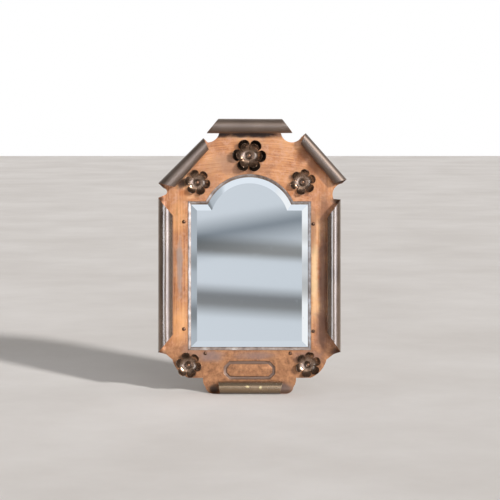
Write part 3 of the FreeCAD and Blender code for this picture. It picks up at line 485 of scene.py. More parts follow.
# Copper sheet. A pressing is the cartouche's section as steps (inwards, outwards, dirt). Notches are the arcs
# between the tabs, named for the tab that follows; footCorners lead from a side roll to the foot.
sheet = {
    "thickness": stance["sheet"], "wrap": 272, "curlSteps": 34, "arcSteps": 14, "windowSteps": 48,
    "gridStep": 9, "gridShift": 0.37, "gridSides": [(0, -140, 140), (2, 0, 420)],
    "waveHeight": 0.2, "waveLength": 75, "waveFullAt": 40, "dentDepth": 0.012, "dentLength": 45,
    "notches": {"top": -7.5, "upperRight": -16, "right": -6.5, "upperLeft": -3},
    "footCorners": [(116, 51), (92, 23.5), (70, 23.5)], "sideRound": 4.5, "tabRound": 1.5,
    "cartouche": {"z": 35, "halfWidth": 39.5, "halfHeight": 14.5, "chamfer": 9},
    "pressing": [(0.15, 0.35, 0), (0.4, -0.1, 0.6), (0.4, -0.65, 0.9), (4, -0.05, 0.9), (0.5, 0.9, 0.5),
                 (0.6, 0.15, 0)],
    "rounding": {"width": 0.15, "segments": 1, "angle": 60},
}
# Its six rolled tabs. x and z are the middle of a tab's root line, turn is where the tab points, flares
# lengthen its ends at the outer edge, at the lip and in front, over frontTurn degrees. Taper widens it
# towards its end.
rolls = {
    "top": {"x": 1.25, "z": 402, "turn": 90, "radius": 10.78, "half": 47.5,
            "edge": (0, 0), "lip": (15.5, 17.5), "taper": 0.02},
    "upperLeft": {"x": -95.8, "z": 343.4, "turn": 136.4, "radius": 10, "half": 47.8,
                  "edge": (0, 0), "lip": (-6.5, -13), "taper": 0.12},
    "left": {"x": -125.5, "z": 179.5, "turn": 180, "radius": 11.49, "half": 120.5,
             "edge": (-5.4, -3.4), "lip": (-27.5, -27.5), "taper": 0},
    "bottom": {"x": 0, "z": 9.5, "turn": 270, "radius": 9.497, "half": 66,
               "edge": (-12.4, -11), "lip": (-6.6, -5), "taper": 0,
               "front": (-9.5, -9.5), "frontTurn": (85, 118), "rounded": True},
    "right": {"x": 126.5, "z": 176, "turn": 0, "radius": 10.5, "half": 117,
              "edge": (-4, -1), "lip": (-30, -28), "taper": 0},
    "upperRight": {"x": 108.7, "z": 351.2, "turn": 41.1, "radius": 8.65, "half": 46.4,
                   "edge": (0, 0), "lip": (-8, -7), "taper": -0.04},
}


def smoothStep(low, high, value):
    part = min(1, max(0, (value - low) / (high - low)))
    return part * part * (3 - 2 * part)


def vertsSince(bm, known):
    return [vert for vert in bm.verts if vert not in known]


def rollWays(roll):
    turn = math.radians(roll["turn"])
    return Vector((math.cos(turn), 0, math.sin(turn))), Vector((-math.sin(turn), 0, math.cos(turn)))


def rootCorner(name, end):
    roll = rolls[name]
    corner = Vector((roll["x"], 0, roll["z"])) + rollWays(roll)[1] * roll["half"] * end
    return corner.x, corner.z


# Splits the flat into small faces, so that it can swell.
def cutGrid(bm):
    for axis, low, high in sheet["gridSides"]:
        for place in range(low, high, sheet["gridStep"]):
            cutAt = Vector((0, 0, 0))
            cutAt[axis] = place + sheet["gridShift"]
            across = Vector((0, 0, 0))
            across[axis] = 1
            bmesh.ops.bisect_plane(bm, geom=wholeMesh(bm), dist=0.005, plane_co=cutAt, plane_no=across)


def pressCartouche(bm, rim):
    panel = bmesh.ops.edgeloop_fill(bm, edges=rim)["faces"]
    panel[0].normal_update()
    if panel[0].normal.y > 0:
        bmesh.ops.reverse_faces(bm, faces=panel)
    dirt = bm.verts.layers.float.new("grooveDirt")
    for width, rise, share in sheet["pressing"]:
        bmesh.ops.inset_region(bm, faces=panel, thickness=width, depth=rise, use_even_offset=True)
        for vert in panel[0].verts:
            vert[dirt] = share


def curlTab(bm, roll):
    outward, along = rollWays(roll)
    half = roll["half"]
    middle = sheet["thickness"] / 2
    root = Vector((roll["x"], middle, roll["z"]))
    curve = roll["radius"] - middle
    centre = root - Vector((0, curve, 0))
    near = 0.02
    edges = [edge for edge in bm.edges if edge.is_boundary and all(
        abs((vert.co - root).dot(outward)) < near and abs((vert.co - root).dot(along)) < half + near
        for vert in edge.verts)]
    flat = set(bm.verts)
    bmesh.ops.spin(bm, geom=edges + list({vert for edge in edges for vert in edge.verts}), cent=centre,
                   axis=-along, angle=math.radians(sheet["wrap"]), steps=sheet["curlSteps"])
    for vert in vertsSince(bm, flat):
        place = vert.co - centre
        reach, length = place.dot(outward), place.dot(along)
        swing = math.atan2(reach, place.y) % (2 * math.pi)
        edgePart, lipPart = 1, (1 - math.sin(swing)) / 2
        if swing < math.pi / 2:
            edgePart = 1 - math.cos(swing) if "rounded" in roll else math.sin(swing)
            lipPart = 0
        flares = [edge * edgePart + lip * lipPart for edge, lip in zip(roll["edge"], roll["lip"])]
        if "front" in roll:
            start, full = [math.radians(turn) for turn in roll["frontTurn"]]
            frontPart = smoothStep(start, full, swing) * (1 - lipPart)
            flares = [flare + front * frontPart for flare, front in zip(flares, roll["front"])]
        moved = length + (flares[1] * (half + length) - flares[0] * (half - length)) / (2 * half)
        dent = abs(noise.noise(Vector((length / sheet["dentLength"], roll["turn"], swing))))
        wide = 1 + roll["taper"] * length / half - sheet["dentDepth"] * dent
        vert.co = (root + along * moved + outward * reach * wide
                   + Vector((0, (place.y - curve) * wide, 0)))


def drawSheet(bm, depth):
    notch, sideRound, tabRound = sheet["notches"], sheet["sideRound"], sheet["tabRound"]
    (sideX, sideZ), (underX, underZ), (tabX, tabZ) = sheet["footCorners"]
    drawOutline(bm, [
        (*rootCorner("top", 1), notch["top"]), (*rootCorner("top", -1), 0),
        (*rootCorner("upperRight", 1), notch["upperRight"]), (*rootCorner("upperRight", -1), 0),
        (*rootCorner("right", 1), notch["right"]), (*rootCorner("right", -1), 0),
        (sideX, sideZ, 0), (underX, underZ, sideRound), (tabX, tabZ, 0),
        (*rootCorner("bottom", 1), tabRound), (*rootCorner("bottom", -1), 0),
        (-tabX, tabZ, tabRound), (-underX, underZ, 0), (-sideX, sideZ, sideRound),
        (*rootCorner("left", 1), 0), (*rootCorner("left", -1), 0),
        (*rootCorner("upperLeft", 1), notch["upperLeft"]), (*rootCorner("upperLeft", -1), 0),
    ], depth, sheet["arcSteps"])
    drawOutline(bm, archCorners(0), depth, sheet["windowSteps"])


def drawCartouche(bm, depth):
    card = sheet["cartouche"]
    wide, high, slant, mid = card["halfWidth"], card["halfHeight"], card["chamfer"], card["z"]
    return drawOutline(bm, [
        (-wide, mid - high + slant, 0), (-wide, mid + high - slant, 0), (-wide + slant, mid + high, 0),
        (wide - slant, mid + high, 0), (wide, mid + high - slant, 0), (wide, mid - high + slant, 0),
        (wide - slant, mid - high, 0), (-wide + slant, mid - high, 0)], depth)


def buildCopperSheet():
    bm = bmesh.new()
    depth = sheet["thickness"] / 2
    drawSheet(bm, depth)
    rim = drawCartouche(bm, depth)
    bmesh.ops.triangle_fill(bm, use_beauty=True, use_dissolve=False, edges=bm.edges[:], normal=(0, -1, 0))
    pressCartouche(bm, rim)
    cutGrid(bm)
    for roll in rolls.values():
        curlTab(bm, roll)
    bmesh.ops.remove_doubles(bm, verts=bm.verts, dist=0.04)
    bmesh.ops.recalc_face_normals(bm, faces=bm.faces)
    flatFace = max(bm.faces, key=lambda face: abs(face.normal.y) * face.calc_area())
    if flatFace.normal.y > 0:
        bmesh.ops.reverse_faces(bm, faces=bm.faces)
    # A hand-cut sheet never lies quite flat.
    for vert in bm.verts:
        swell = abs(noise.noise(vert.co / sheet["waveLength"])) * sheet["waveHeight"]
        vert.co.y += swell * min(1, vert.co.z / sheet["waveFullAt"])
    piece = finishPiece(bm, "copperSheet", [lacqueredCopper, bronzedCopper],
                        ["frame_sheet"])
    wall = piece.modifiers.new("gauge", "SOLIDIFY")
    wall.thickness = sheet["thickness"] / 1000
    wall.offset = 0
    wall.material_offset = 1  # the back is bronzed
    wall.material_offset_rim = 0
    roundEdges(piece, **sheet["rounding"])


buildCopperSheet()
print("copper sheet built")

# Strip round the glass: section as (inset from the window's edge, depth), from its back, over a narrow
# land and down a lip to the glass.
bezel = {"section": [(0.3, 2.2), (0.3, 0.45), (0.55, 0.22), (0.9, 0.2), (4.75, 1.65), (5, 1.85), (5, 2.15)],
         "arcSteps": 64, "sharp": 25}


def stackLoops(bm, section, arcSteps, closed):
    loops = [drawOutline(bm, archCorners(inset), depth, arcSteps) for inset, depth in section]
    followers = loops[1:] + loops[:1] if closed else loops[1:]
    for loop, follower in zip(loops, followers):
        bmesh.ops.bridge_loops(bm, edges=loop + follower)
    return loops


def buildBezel():
    bm = bmesh.new()
    stackLoops(bm, bezel["section"], bezel["arcSteps"], True)
    bmesh.ops.recalc_face_normals(bm, faces=bm.faces)
    finishPiece(bm, "glassBezel", [tinnedStrip], ["glass_bezel"], sharp=bezel["sharp"])


buildBezel()

# Bevelled glass: flat front, ground bevel, edge and back as (inset, depth). The bevel is what leans from the
# front by a slope within bevelLean.
glass = {"section": [(14, 0.54), (3, 2.54), (3, 5.54)], "arcSteps": 64, "imageTilt": 4.2,
         "bevelLean": (0.01, 0.5)}


def buildGlass():
    bm = bmesh.new()
    loops = stackLoops(bm, glass["section"], glass["arcSteps"], False)
    for loop in (loops[0], loops[-1]):
        bmesh.ops.edgeloop_fill(bm, edges=loop)
    bmesh.ops.recalc_face_normals(bm, faces=bm.faces)
    piece = finishPiece(bm, "bevelledGlass", [silveredGlass], ["mirror_glass"])
    # The silver is flat behind the bevel, and the bevel bends the image towards the thick of the glass, so
    # there the shading normals lean inwards and not with the ground face.
    mesh = piece.data
    facing = max(mesh.polygons, key=lambda face: -face.normal.y * face.area).normal.copy()
    least, most = glass["bevelLean"]
    normals = []
    for face in mesh.polygons:
        lean = face.normal - face.normal.dot(facing) * facing
        shown = face.normal
        if least < lean.length < most:
            shown = (facing - lean.normalized() * math.tan(math.radians(glass["imageTilt"]))).normalized()
        normals += [shown.copy()] * face.loop_total
    mesh.normals_split_custom_set(normals)


buildGlass()
print("bezel and glass built")

# Flowers. Each stamped layer has six spoon-shaped petals joined at the hub, with slits between them. Sizes
# are for a petal layer of the given reach and scale with it. The sides curl up over sideFrom.
petals = {"reach": 19.5, "hubHole": 2, "bowlMiddle": 13.44, "bowlWide": 6.9, "bowlLong": 6.06,
          "slitFrom": 8.2, "liftFrom": 5, "tipLift": 8.2, "tipCurve": 2.5, "sideLift": 1.2,
          "sideFrom": (5.5, 12), "bend": 0.12, "bendChange": 2,
          "gauge": 0.6, "columns": 12, "rows": 20, "count": 6}
# Layers are the ends of the piece's and the node's names, reach and height of the hub.
singleLayer = [("Petals", "_petals", 19.5, 0.6)]
flowers = {
    "top": {"x": -0.3, "z": 357.8, "phase": -3, "node": "top_flower", "layers": [
        ("OuterPetals", "_outer_petals", 25.5, 0.6), ("InnerPetals", "_inner_petals", 19.5, 4)]},
    "upperLeft": {"x": -78, "z": 317.7, "phase": -10, "node": "upper_left_flower", "layers": singleLayer},
    "upperRight": {"x": 80.4, "z": 318.2, "phase": 18, "node": "upper_right_flower", "layers": singleLayer},
    "lowerLeft": {"x": -91.5, "z": 43.1, "phase": -12, "node": "lower_left_flower", "layers": singleLayer},
    "lowerRight": {"x": 88.2, "z": 43.7, "phase": 20, "node": "lower_right_flower", "layers": singleLayer},
}


# Local Z is the way out of the sheet.
def onSheet(flower, height):
    return (standUp @ Matrix.Translation((flower["x"], -height, flower["z"]))
            @ Matrix.Rotation(math.pi / 2, 4, "X") @ Matrix.Rotation(math.radians(flower["phase"]), 4, "Z"))


# A grid of a petal's width and length becomes a spoon: a round bowl outside, a sector of the hub inside.
def shapePetal(bm):
    p = petals
    hubSlope = math.tan(math.pi / p["count"])
    for vert in bm.verts:
        v, u = vert.co.x, vert.co.y
        if u >= 0:
            side = p["bowlWide"] * v * math.sqrt(1 - u * u / 2)
            out = p["bowlMiddle"] + p["bowlLong"] * u * math.sqrt(1 - v * v / 2)
        else:
            out = p["bowlMiddle"] + (p["bowlMiddle"] - p["hubHole"]) * u
            slit = p["bowlMiddle"] * hubSlope - p["bowlWide"]
            side = v * (out * hubSlope - slit * smoothStep(p["slitFrom"], p["bowlMiddle"], out))
        ahead = max(0, (out - p["liftFrom"]) / (p["reach"] - p["liftFrom"]))
        curl = p["sideLift"] * (side / p["bowlWide"]) ** 2 * smoothStep(*p["sideFrom"], out)
        vert.co = (out, side, p["tipLift"] * ahead ** p["tipCurve"] + curl)


def buildPetals(name, node, flower, reach, hubHeight, stand):
    bm = bmesh.new()
    bmesh.ops.create_grid(bm, x_segments=petals["columns"], y_segments=petals["rows"], size=1)
    shapePetal(bm)
    others = petals["count"] - 1
    bmesh.ops.spin(bm, geom=wholeMesh(bm), cent=(0, 0, 0), axis=(0, 0, 1),
                   angle=2 * math.pi * others / petals["count"], steps=others, use_duplicate=True)
    bmesh.ops.remove_doubles(bm, verts=bm.verts, dist=0.02)
    bmesh.ops.recalc_face_normals(bm, faces=bm.faces)
    if sum(face.normal.z for face in bm.faces) < 0:
        bmesh.ops.reverse_faces(bm, faces=bm.faces)
    # Petals bent by hand differ a little.
    for vert in bm.verts:
        way = math.atan2(vert.co.y, vert.co.x)
        lift = noise.noise(Vector((math.cos(way) * petals["bendChange"] + flower["x"],
                                   math.sin(way) * petals["bendChange"], flower["z"])))
        vert.co.z *= 1 + petals["bend"] * lift
    size = reach / petals["reach"]
    bmesh.ops.scale(bm, vec=(size, size, size), verts=bm.verts)
    bmesh.ops.translate(bm, vec=(0, 0, hubHeight - petals["gauge"] / 2), verts=bm.verts)
    # The layer behind gets the darker copy, painted shade
    metal = shadedBronze if reach > petals["reach"] else flowerBronze
    piece = finishPiece(bm, name, [metal], [node], place=onSheet(flower, stand))
    wall = piece.modifiers.new("gauge", "SOLIDIFY")
    wall.thickness = petals["gauge"] / 1000
    wall.offset = 0
    smooth = piece.modifiers.new("rounding", "SUBSURF")
    smooth.levels = smooth.render_levels = 1


def spinProfile(bm, points, steps, place=Matrix.Identity(4)):
    known = set(bm.verts)
    verts = [bm.verts.new((radius, 0, height)) for radius, height in points]
    edges = [bm.edges.new(pair) for pair in zip(verts, verts[1:])]
    bmesh.ops.spin(bm, geom=verts + edges, cent=(0, 0, 0), axis=(0, 0, 1), angle=2 * math.pi, steps=steps,
                   use_merge=True)
    bmesh.ops.remove_doubles(bm, verts=vertsSince(bm, known), dist=0.001)
    bmesh.ops.transform(bm, matrix=place, verts=vertsSince(bm, known))


# Half section of a round head on a shank, from the top of the head to the end of the shank.
def domeProfile(headRadius, shankRadius, shankLength, rimAngle=25, rounds=8):
    ball = headRadius / math.cos(math.radians(rimAngle))
    drop = ball * math.sin(math.radians(rimAngle))
    angles = [math.radians(90 - (90 - rimAngle) * i / rounds) for i in range(rounds + 1)]
    dome = [(ball * math.cos(a), ball * math.sin(a) - drop) for a in angles]
    dome[0] = (0, dome[0][1])
    return dome + [(shankRadius, 0), (shankRadius, -shankLength), (0, -shankLength)]


# Tapered cup with a rounded rim, and the pin whose round head sits in it.
cup = {"profile": [(1.05, 0), (5.7, 0), (5.8, 0.15), (5.6, 0.8), (4.35, 7.3), (4.2, 7.75), (4, 7.95),
                   (3.8, 7.95), (3.6, 7.8), (3.5, 7.5), (3.5, 6), (3.2, 5.65), (2.9, 5.6), (1.05, 5.6),
                   (1.05, 0)],
       "steps": 48, "floor": 5.6, "sharp": 50}
pin = {"headRadius": 2.3, "shankRadius": 1, "grip": 10, "steps": 32, "sharp": 50}


def buildFlower(name):
    flower = flowers[name]
    node = flower["node"]
    stand = 0
    for title, ending, reach, hubHeight in flower["layers"]:
        buildPetals(name + "Flower" + title, node + ending, flower, reach, hubHeight, stand)
        stand += hubHeight
    bm = bmesh.new()
    spinProfile(bm, cup["profile"], cup["steps"])
    bmesh.ops.recalc_face_normals(bm, faces=bm.faces)
    # The cup gets the darker copy of the bronze, painted shade
    finishPiece(bm, name + "FlowerCup", [shadedBronze], [node + "_cup"],
                place=onSheet(flower, stand), sharp=cup["sharp"])
    bm = bmesh.new()
    seat = stand + cup["floor"]
    shank = seat + sheet["thickness"] + pin["grip"]
    spinProfile(bm, domeProfile(pin["headRadius"], pin["shankRadius"], shank), pin["steps"])
    bmesh.ops.recalc_face_normals(bm, faces=bm.faces)
    finishPiece(bm, name + "FlowerPin", [pinCopper], [node + "_pin"],
                place=onSheet(flower, seat), sharp=pin["sharp"])


for flowerName in flowers:
    buildFlower(flowerName)
print("flowers built")

# Round-headed nails through the sheet into the board: (x, z).
nails = {"places": [(-98.8, 258.5), (-98.8, 97), (96, 255.2), (96, 93.7), (-66.6, 60.4), (61.4, 60.4)],
         "headRadius": 2.8, "shankRadius": 0.8, "grip": 10, "steps": 28, "sharp": 50}


def buildNails():
    bm = bmesh.new()
    profile = domeProfile(nails["headRadius"], nails["shankRadius"], sheet["thickness"] + nails["grip"])
    for x, z in nails["places"]:
        spinProfile(bm, profile, nails["steps"],
                    Matrix.Translation((x, 0, z)) @ Matrix.Rotation(math.pi / 2, 4, "X"))
    bmesh.ops.recalc_face_normals(bm, faces=bm.faces)
    finishPiece(bm, "frameNails", [nailCopper], ["frame_nails"], sharp=nails["sharp"])


buildNails()

# Wooden board: outline corners of its right half, front and back depth, pocket for the glass.
board = {"corners": [(48, 372), (112, 306), (112, 56), (90, 28), (50, 28), (50, 0)],
         "front": stance["sheet"], "back": stance["sheet"] + stance["board"],
         "pocketInset": 2.6, "pocketBack": 5.74, "pocketSteps": 40, "rounding": 0.9}


def wallBack(bm, edges, distance):
    extruded = bmesh.ops.extrude_edge_only(bm, edges=edges)["geom"]
    bmesh.ops.translate(bm, vec=(0, distance, 0),
                        verts=[item for item in extruded if isinstance(item, bmesh.types.BMVert)])
    return [item for item in extruded if isinstance(item, bmesh.types.BMEdge)]


def buildBoard():
    bm = bmesh.new()
    corners = [(x, z, 0) for x, z in board["corners"]]
    corners += [(-x, z, 0) for x, z in reversed(board["corners"])]
    outer = drawOutline(bm, corners, board["front"])
    pocket = drawOutline(bm, archCorners(board["pocketInset"]), board["front"], board["pocketSteps"])
    bmesh.ops.triangle_fill(bm, use_beauty=True, use_dissolve=False, edges=outer + pocket,
                            normal=(0, -1, 0))
    bmesh.ops.edgeloop_fill(bm, edges=wallBack(bm, pocket, board["pocketBack"] - board["front"]))
    bmesh.ops.edgeloop_fill(bm, edges=wallBack(bm, outer, board["back"] - board["front"]))
    bmesh.ops.recalc_face_normals(bm, faces=bm.faces)
    piece = finishPiece(bm, "backBoard", [boardWood], ["backboard"], levelFoot=True)
    roundEdges(piece, board["rounding"])


buildBoard()
print("nails and board built")

# Easel strut: drawn in side view round the hinge pin, then given its width, which tapers from the neck to
# where the uncut foot would end. The heel is cut where it meets the bracket when the strut is open.
strut = {"hingeDepth": 23.4, "hingeHeight": 240, "open": 19, "thickness": 9, "heel": 9, "length": 255,
         "neck": 22, "topHalf": 14, "footHalf": 24, "bore": 2.05, "boreSteps": 28, "stop": 18.45,
         "rounding": 0.8}


def buildStrut():
    bm = bmesh.new()
    s = strut
    deep = s["thickness"] / 2
    corners = ((-deep, s["heel"]), (deep, s["heel"]), (deep, -s["neck"]), (deep, -s["length"]),
               (-deep, -s["length"]), (-deep, -s["neck"]))
    verts = [bm.verts.new((0, y, z)) for y, z in corners]
    side = [bm.edges.new(pair) for pair in zip(verts, verts[1:] + verts[:1])]
    ring = bmesh.ops.create_circle(bm, segments=s["boreSteps"], radius=s["bore"],
                                   matrix=Matrix.Rotation(math.pi / 2, 4, "Y"))["verts"]
    side += list({edge for vert in ring for edge in vert.link_edges})
    bmesh.ops.triangle_fill(bm, use_beauty=True, use_dissolve=False, edges=side, normal=(1, 0, 0))
    bmesh.ops.bisect_plane(bm, geom=wholeMesh(bm), dist=0.001, plane_co=(0, 0, -s["neck"]),
                           plane_no=(0, 0, 1))
    wide = bmesh.ops.extrude_face_region(bm, geom=bm.faces[:])["geom"]
    far = {item for item in wide if isinstance(item, bmesh.types.BMVert)}
    hinge = Vector((0, s["hingeDepth"], s["hingeHeight"]))
    footAt = (standUp @ hinge).z * 1000 / math.cos(math.radians(s["open"] - stance["lean"])) + s["thickness"]
    for vert in bm.verts:
        part = max(0, (-vert.co.z - s["neck"]) / (footAt - s["neck"]))
        vert.co.x = (s["topHalf"] + (s["footHalf"] - s["topHalf"]) * part) * (1 if vert in far else -1)
    opened = Matrix.Translation(hinge) @ Matrix.Rotation(math.radians(s["open"]), 4, "X")
    bmesh.ops.transform(bm, matrix=opened, verts=bm.verts)
    trimBelow(bm, (0, s["stop"], 0), (0, 1, 0), 0.001)
    piece = finishPiece(bm, "easelStrut", [strutWood], ["easel_strut"], "strut",
                        levelFoot=True)
    roundEdges(piece, s["rounding"])


buildStrut()

# Slotted round-head screws that hold the bracket: (x, z) on the bracket's back, and how their slots turn.
screws = {"places": [(-24, 232), (-24, 248), (24, 232), (24, 248)], "turns": [20, 75, 140, 50], "seat": 18.3,
          "headRadius": 3.5, "shankRadius": 1.5, "grip": 9.5, "steps": 32, "sharp": 45,
          "slotWidth": 0.9, "slotFloor": 0.9}


def facesOf(verts):
    return {face for vert in verts for face in vert.link_faces}


def cutSlot(bm, known):
    half, floor = screws["slotWidth"] / 2, screws["slotFloor"]
    for side in (-half, half):
        own = vertsSince(bm, known)
        faces = facesOf(own)
        edges = {edge for face in faces for edge in face.edges}
        bmesh.ops.bisect_plane(bm, geom=own + list(edges) + list(faces), dist=0.001,
                               plane_co=(side, 0, 0), plane_no=(1, 0, 0))
    strip = [face for face in facesOf(vertsSince(bm, known))
             if abs(face.calc_center_median().x) < half and face.calc_center_median().z > floor
             and face.normal.length]
    sunk = bmesh.ops.extrude_face_region(bm, geom=strip)["geom"]
    for item in sunk:
        if isinstance(item, bmesh.types.BMVert):
            item.co.z = floor
    bmesh.ops.delete(bm, geom=[face for face in strip if face.is_valid], context="FACES_ONLY")


def buildScrews():
    bm = bmesh.new()
    profile = domeProfile(screws["headRadius"], screws["shankRadius"], screws["grip"])
    for (x, z), turn in zip(screws["places"], screws["turns"]):
        known = set(bm.verts)
        spinProfile(bm, profile, screws["steps"])
        cutSlot(bm, known)
        place = (Matrix.Translation((x, screws["seat"], z)) @ Matrix.Rotation(-math.pi / 2, 4, "X")
                 @ Matrix.Rotation(math.radians(turn), 4, "Z"))
        bmesh.ops.transform(bm, verts=vertsSince(bm, known), matrix=place)
    bmesh.ops.recalc_face_normals(bm, faces=bm.faces)
    finishPiece(bm, "bracketScrews", [agedBrass], ["bracket_screws"],
                sharp=screws["sharp"])


buildScrews()
print("strut and screws built")

# The silver coat, the bracket and its hinge pin keep their CAD shapes.
for nodeName, material in (("mirror_silvering", mirrorBacking), ("strut_bracket", agedBrass),
                           ("strut_pin", agedBrass)):
    kept = nodes[nodeName].data.materials
    kept.clear()
    kept.append(material)

# Pale floor with a far edge, in front of a white world. Metres.
stageSet = {"farEdge": 7.65, "nearEdge": -5, "side": 9}


def buildFloor():
    bm = bmesh.new()
    bmesh.ops.create_grid(bm, x_segments=1, y_segments=1, size=1)
    long = stageSet["farEdge"] - stageSet["nearEdge"]
    bmesh.ops.scale(bm, vec=(stageSet["side"], long / 2, 1), verts=bm.verts)
    bmesh.ops.translate(bm, vec=(0, (stageSet["farEdge"] + stageSet["nearEdge"]) / 2, 0), verts=bm.verts)
    mesh = bpy.data.meshes.new("paleFloor")
    bm.to_mesh(mesh)
    bm.free()
    material, tree, shader = newMaterial("paleConcrete", Roughness=0.75)
    place = addNode(tree, "ShaderNodeTexCoord").outputs["Object"]
    trowelled = addNode(tree, "ShaderNodeTexNoise", {
        "Vector": place, "Scale": perMeter(350), "Detail": 6, "Roughness": 0.6})
    tint = addNode(tree, "ShaderNodeValToRGB", {0: trowelled.outputs[0]}, stops=[
        (0.35, "#dad3cd"), (0.65, "#e6e0db")])
    tree.links.new(tint.outputs[0], shader.inputs["Base Color"])
    mesh.materials.append(material)
    floor = bpy.data.objects.new("paleFloor", mesh)
    bpy.context.scene.collection.objects.link(floor)


buildFloor()

# Studio light: white to the camera, soft and even for the shapes. Lamps are level, degrees to the right,
# degrees up and spread. In gloss the surround is dark on the left, has a tall light panel on either side, and
# shows the glass soft grey bands from the front.
studio = {"frontFill": 0.2, "backFill": 0.45, "glossLevel": 0.36, "panelLevel": 10,
          "bandHeights": (0.02, 0.12), "lampDistance": 4,
          "lamps": {"keyLight": (3.3, 42, 25, 6), "frontLight": (0.35, 13, 30, 28)}}
# A slanted band above and two level ones below: slope and tones over bandHeights.
bandTones = [
    (-0.17, [(0.56, "#ffffff"), (0.8, "#ffffff"), (0.66, "#c4c6c8"), (0.7, "#9ea3a7")]),
    (0.06, [(0.22, "#ffffff"), (0.66, "#ffffff"), (0.29, "#a29f9b"), (0.34, "#9a9896"), (0.4, "#ffffff"),
            (0.53, "#ffffff"), (0.57, "#aaa6a0"), (0.61, "#b4b1ac")])]


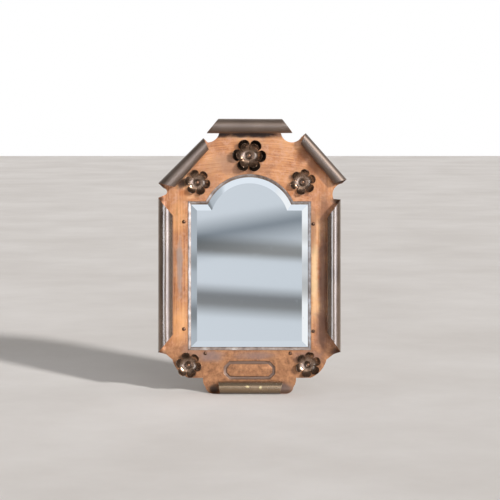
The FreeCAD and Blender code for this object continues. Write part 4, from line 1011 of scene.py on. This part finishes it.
def buildWorld():
    world = bpy.data.worlds.new("studio")
    bpy.context.scene.world = world
    world.use_nodes = True
    tree = world.node_tree
    background = tree.nodes["Background"]
    white = hexColor("#ffffff")
    way = addNode(tree, "ShaderNodeSeparateXYZ", {
        0: addNode(tree, "ShaderNodeTexCoord").outputs["Generated"]})
    # Left to right
    sides = addNode(tree, "ShaderNodeMapRange", {"Value": way.outputs["X"], "From Min": -1, "From Max": 1})
    surround = addNode(tree, "ShaderNodeValToRGB", {0: sides.outputs[0]}, stops=[
        (0.1, "#171412"), (0.9, "#9a9da0"), (0.33, "#6f7072"), (0.41, "#ffffff"), (0.45, "#ffffff"),
        (0.48, "#d9dee4"), (0.53, "#d3d9df"), (0.57, "#aab0b6"), (0.66, "#8f9296")])
    lowest, highest = studio["bandHeights"]
    bands = []
    for slope, tones in bandTones:
        tilted = addNode(tree, "ShaderNodeMath", {
            0: way.outputs["X"], 1: slope, 2: way.outputs["Z"]}, operation="MULTIPLY_ADD")
        height = addNode(tree, "ShaderNodeMapRange", {
            "Value": tilted.outputs[0], "From Min": lowest, "From Max": highest})
        bands.append(addNode(tree, "ShaderNodeValToRGB", {0: height.outputs[0]}, stops=tones).outputs[0])
    allBands = addNode(tree, "ShaderNodeMix", {
        0: 1.0, 6: bands[0], 7: bands[1]}, data_type="RGBA", blend_type="MULTIPLY")
    ahead = addNode(tree, "ShaderNodeMapRange", {
        "Value": way.outputs["Y"], "From Min": -0.985, "From Max": -0.995})
    banded = addNode(tree, "ShaderNodeMix", {
        0: ahead.outputs[0], 6: white, 7: allBands.outputs[2]}, data_type="RGBA")
    bandedSurround = addNode(tree, "ShaderNodeMix", {
        0: 1.0, 6: surround.outputs[0], 7: banded.outputs[2]}, data_type="RGBA", blend_type="MULTIPLY")
    # Bright above and below, where the bevels look
    outer = addNode(tree, "ShaderNodeMapRange", {
        "Value": way.outputs["Z"], "From Min": -0.1, "From Max": 0.2})
    outerPart = addNode(tree, "ShaderNodeValToRGB", {0: outer.outputs[0]}, stops=[
        (0.3, "#ffffff"), (0.85, "#808080"), (0.33, "#000000"), (0.77, "#000000")])
    brightAbove = addNode(tree, "ShaderNodeMix", {
        0: outerPart.outputs[0], 6: bandedSurround.outputs[2], 7: hexColor("#eff4fa")}, data_type="RGBA")
    # The glass faces the bright middle, and the rest is dimmer, so that the key light shapes the metal.
    middle = addNode(tree, "ShaderNodeMapRange", {
        "Value": way.outputs["Y"], "From Min": -0.9, "From Max": -0.96,
        "To Min": studio["glossLevel"], "To Max": 1})
    dimmed = addNode(tree, "ShaderNodeVectorMath", {
        0: brightAbove.outputs[2], "Scale": middle.outputs[0]}, operation="SCALE")
    panels = addNode(tree, "ShaderNodeValToRGB", {0: sides.outputs[0]}, stops=[
        (0.19, "#000000"), (0.9, "#000000"), (0.23, "#b4cdea"), (0.31, "#b4cdea"), (0.35, "#000000"),
        (0.585, "#000000"), (0.63, "#cfe3ff"), (0.71, "#cfe3ff"), (0.77, "#728299"), (0.85, "#728299")])
    tall = addNode(tree, "ShaderNodeMapRange", {
        "Value": way.outputs["Z"], "From Min": 0.32, "From Max": 0.14, "To Max": studio["panelLevel"]})
    lit = addNode(tree, "ShaderNodeVectorMath", {
        0: panels.outputs[0], 1: tall.outputs[0], 2: dimmed.outputs[0]}, operation="MULTIPLY_ADD")
    behind = addNode(tree, "ShaderNodeMapRange", {
        "Value": way.outputs["Y"], "From Min": 0.2, "From Max": 0.7})
    gloss = addNode(tree, "ShaderNodeMix", {
        0: behind.outputs[0], 6: lit.outputs[0], 7: white}, data_type="RGBA")
    path = addNode(tree, "ShaderNodeLightPath")
    soft = addNode(tree, "ShaderNodeMapRange", {
        "Value": way.outputs["Y"], "From Min": -0.3, "From Max": 0.3, "To Min": studio["frontFill"],
        "To Max": studio["backFill"]})
    fill = addNode(tree, "ShaderNodeMix", {
        0: path.outputs["Is Glossy Ray"], 6: soft.outputs[0], 7: gloss.outputs[2]}, data_type="RGBA")
    seen = addNode(tree, "ShaderNodeMix", {
        0: path.outputs["Is Camera Ray"], 6: fill.outputs[2], 7: white}, data_type="RGBA")
    tree.links.new(seen.outputs[2], background.inputs["Color"])


buildWorld()


def addLamps():
    for name, (level, right, up, spread) in studio["lamps"].items():
        lamp = bpy.data.lights.new(name, "SUN")
        lamp.energy = level
        lamp.angle = math.radians(spread)
        holder = bpy.data.objects.new(name, lamp)
        right, up = math.radians(right), math.radians(up)
        way = Vector((math.cos(up) * math.sin(right), -math.cos(up) * math.cos(right), math.sin(up)))
        holder.location = way * studio["lampDistance"]
        holder.rotation_euler = (-way).to_track_quat("-Z", "Y").to_euler()
        bpy.context.scene.collection.objects.link(holder)


addLamps()

# Camera: in front, a little above, far off with a long lens.
view = {"distance": 2.85, "down": 5.5, "lens": 136.8, "sensor": 36, "aim": (0.0008, 0, 0.2155)}


def addCamera():
    lens = bpy.data.cameras.new("camera")
    lens.lens = view["lens"]
    lens.sensor_width = view["sensor"]
    camera = bpy.data.objects.new("camera", lens)
    down = math.radians(view["down"])
    camera.location = Vector(view["aim"]) + view["distance"] * Vector((0, -math.cos(down), math.sin(down)))
    camera.rotation_euler = (math.pi / 2 - down, 0, 0)
    bpy.context.scene.collection.objects.link(camera)
    bpy.context.scene.camera = camera


addCamera()
print("stage, light and camera set")
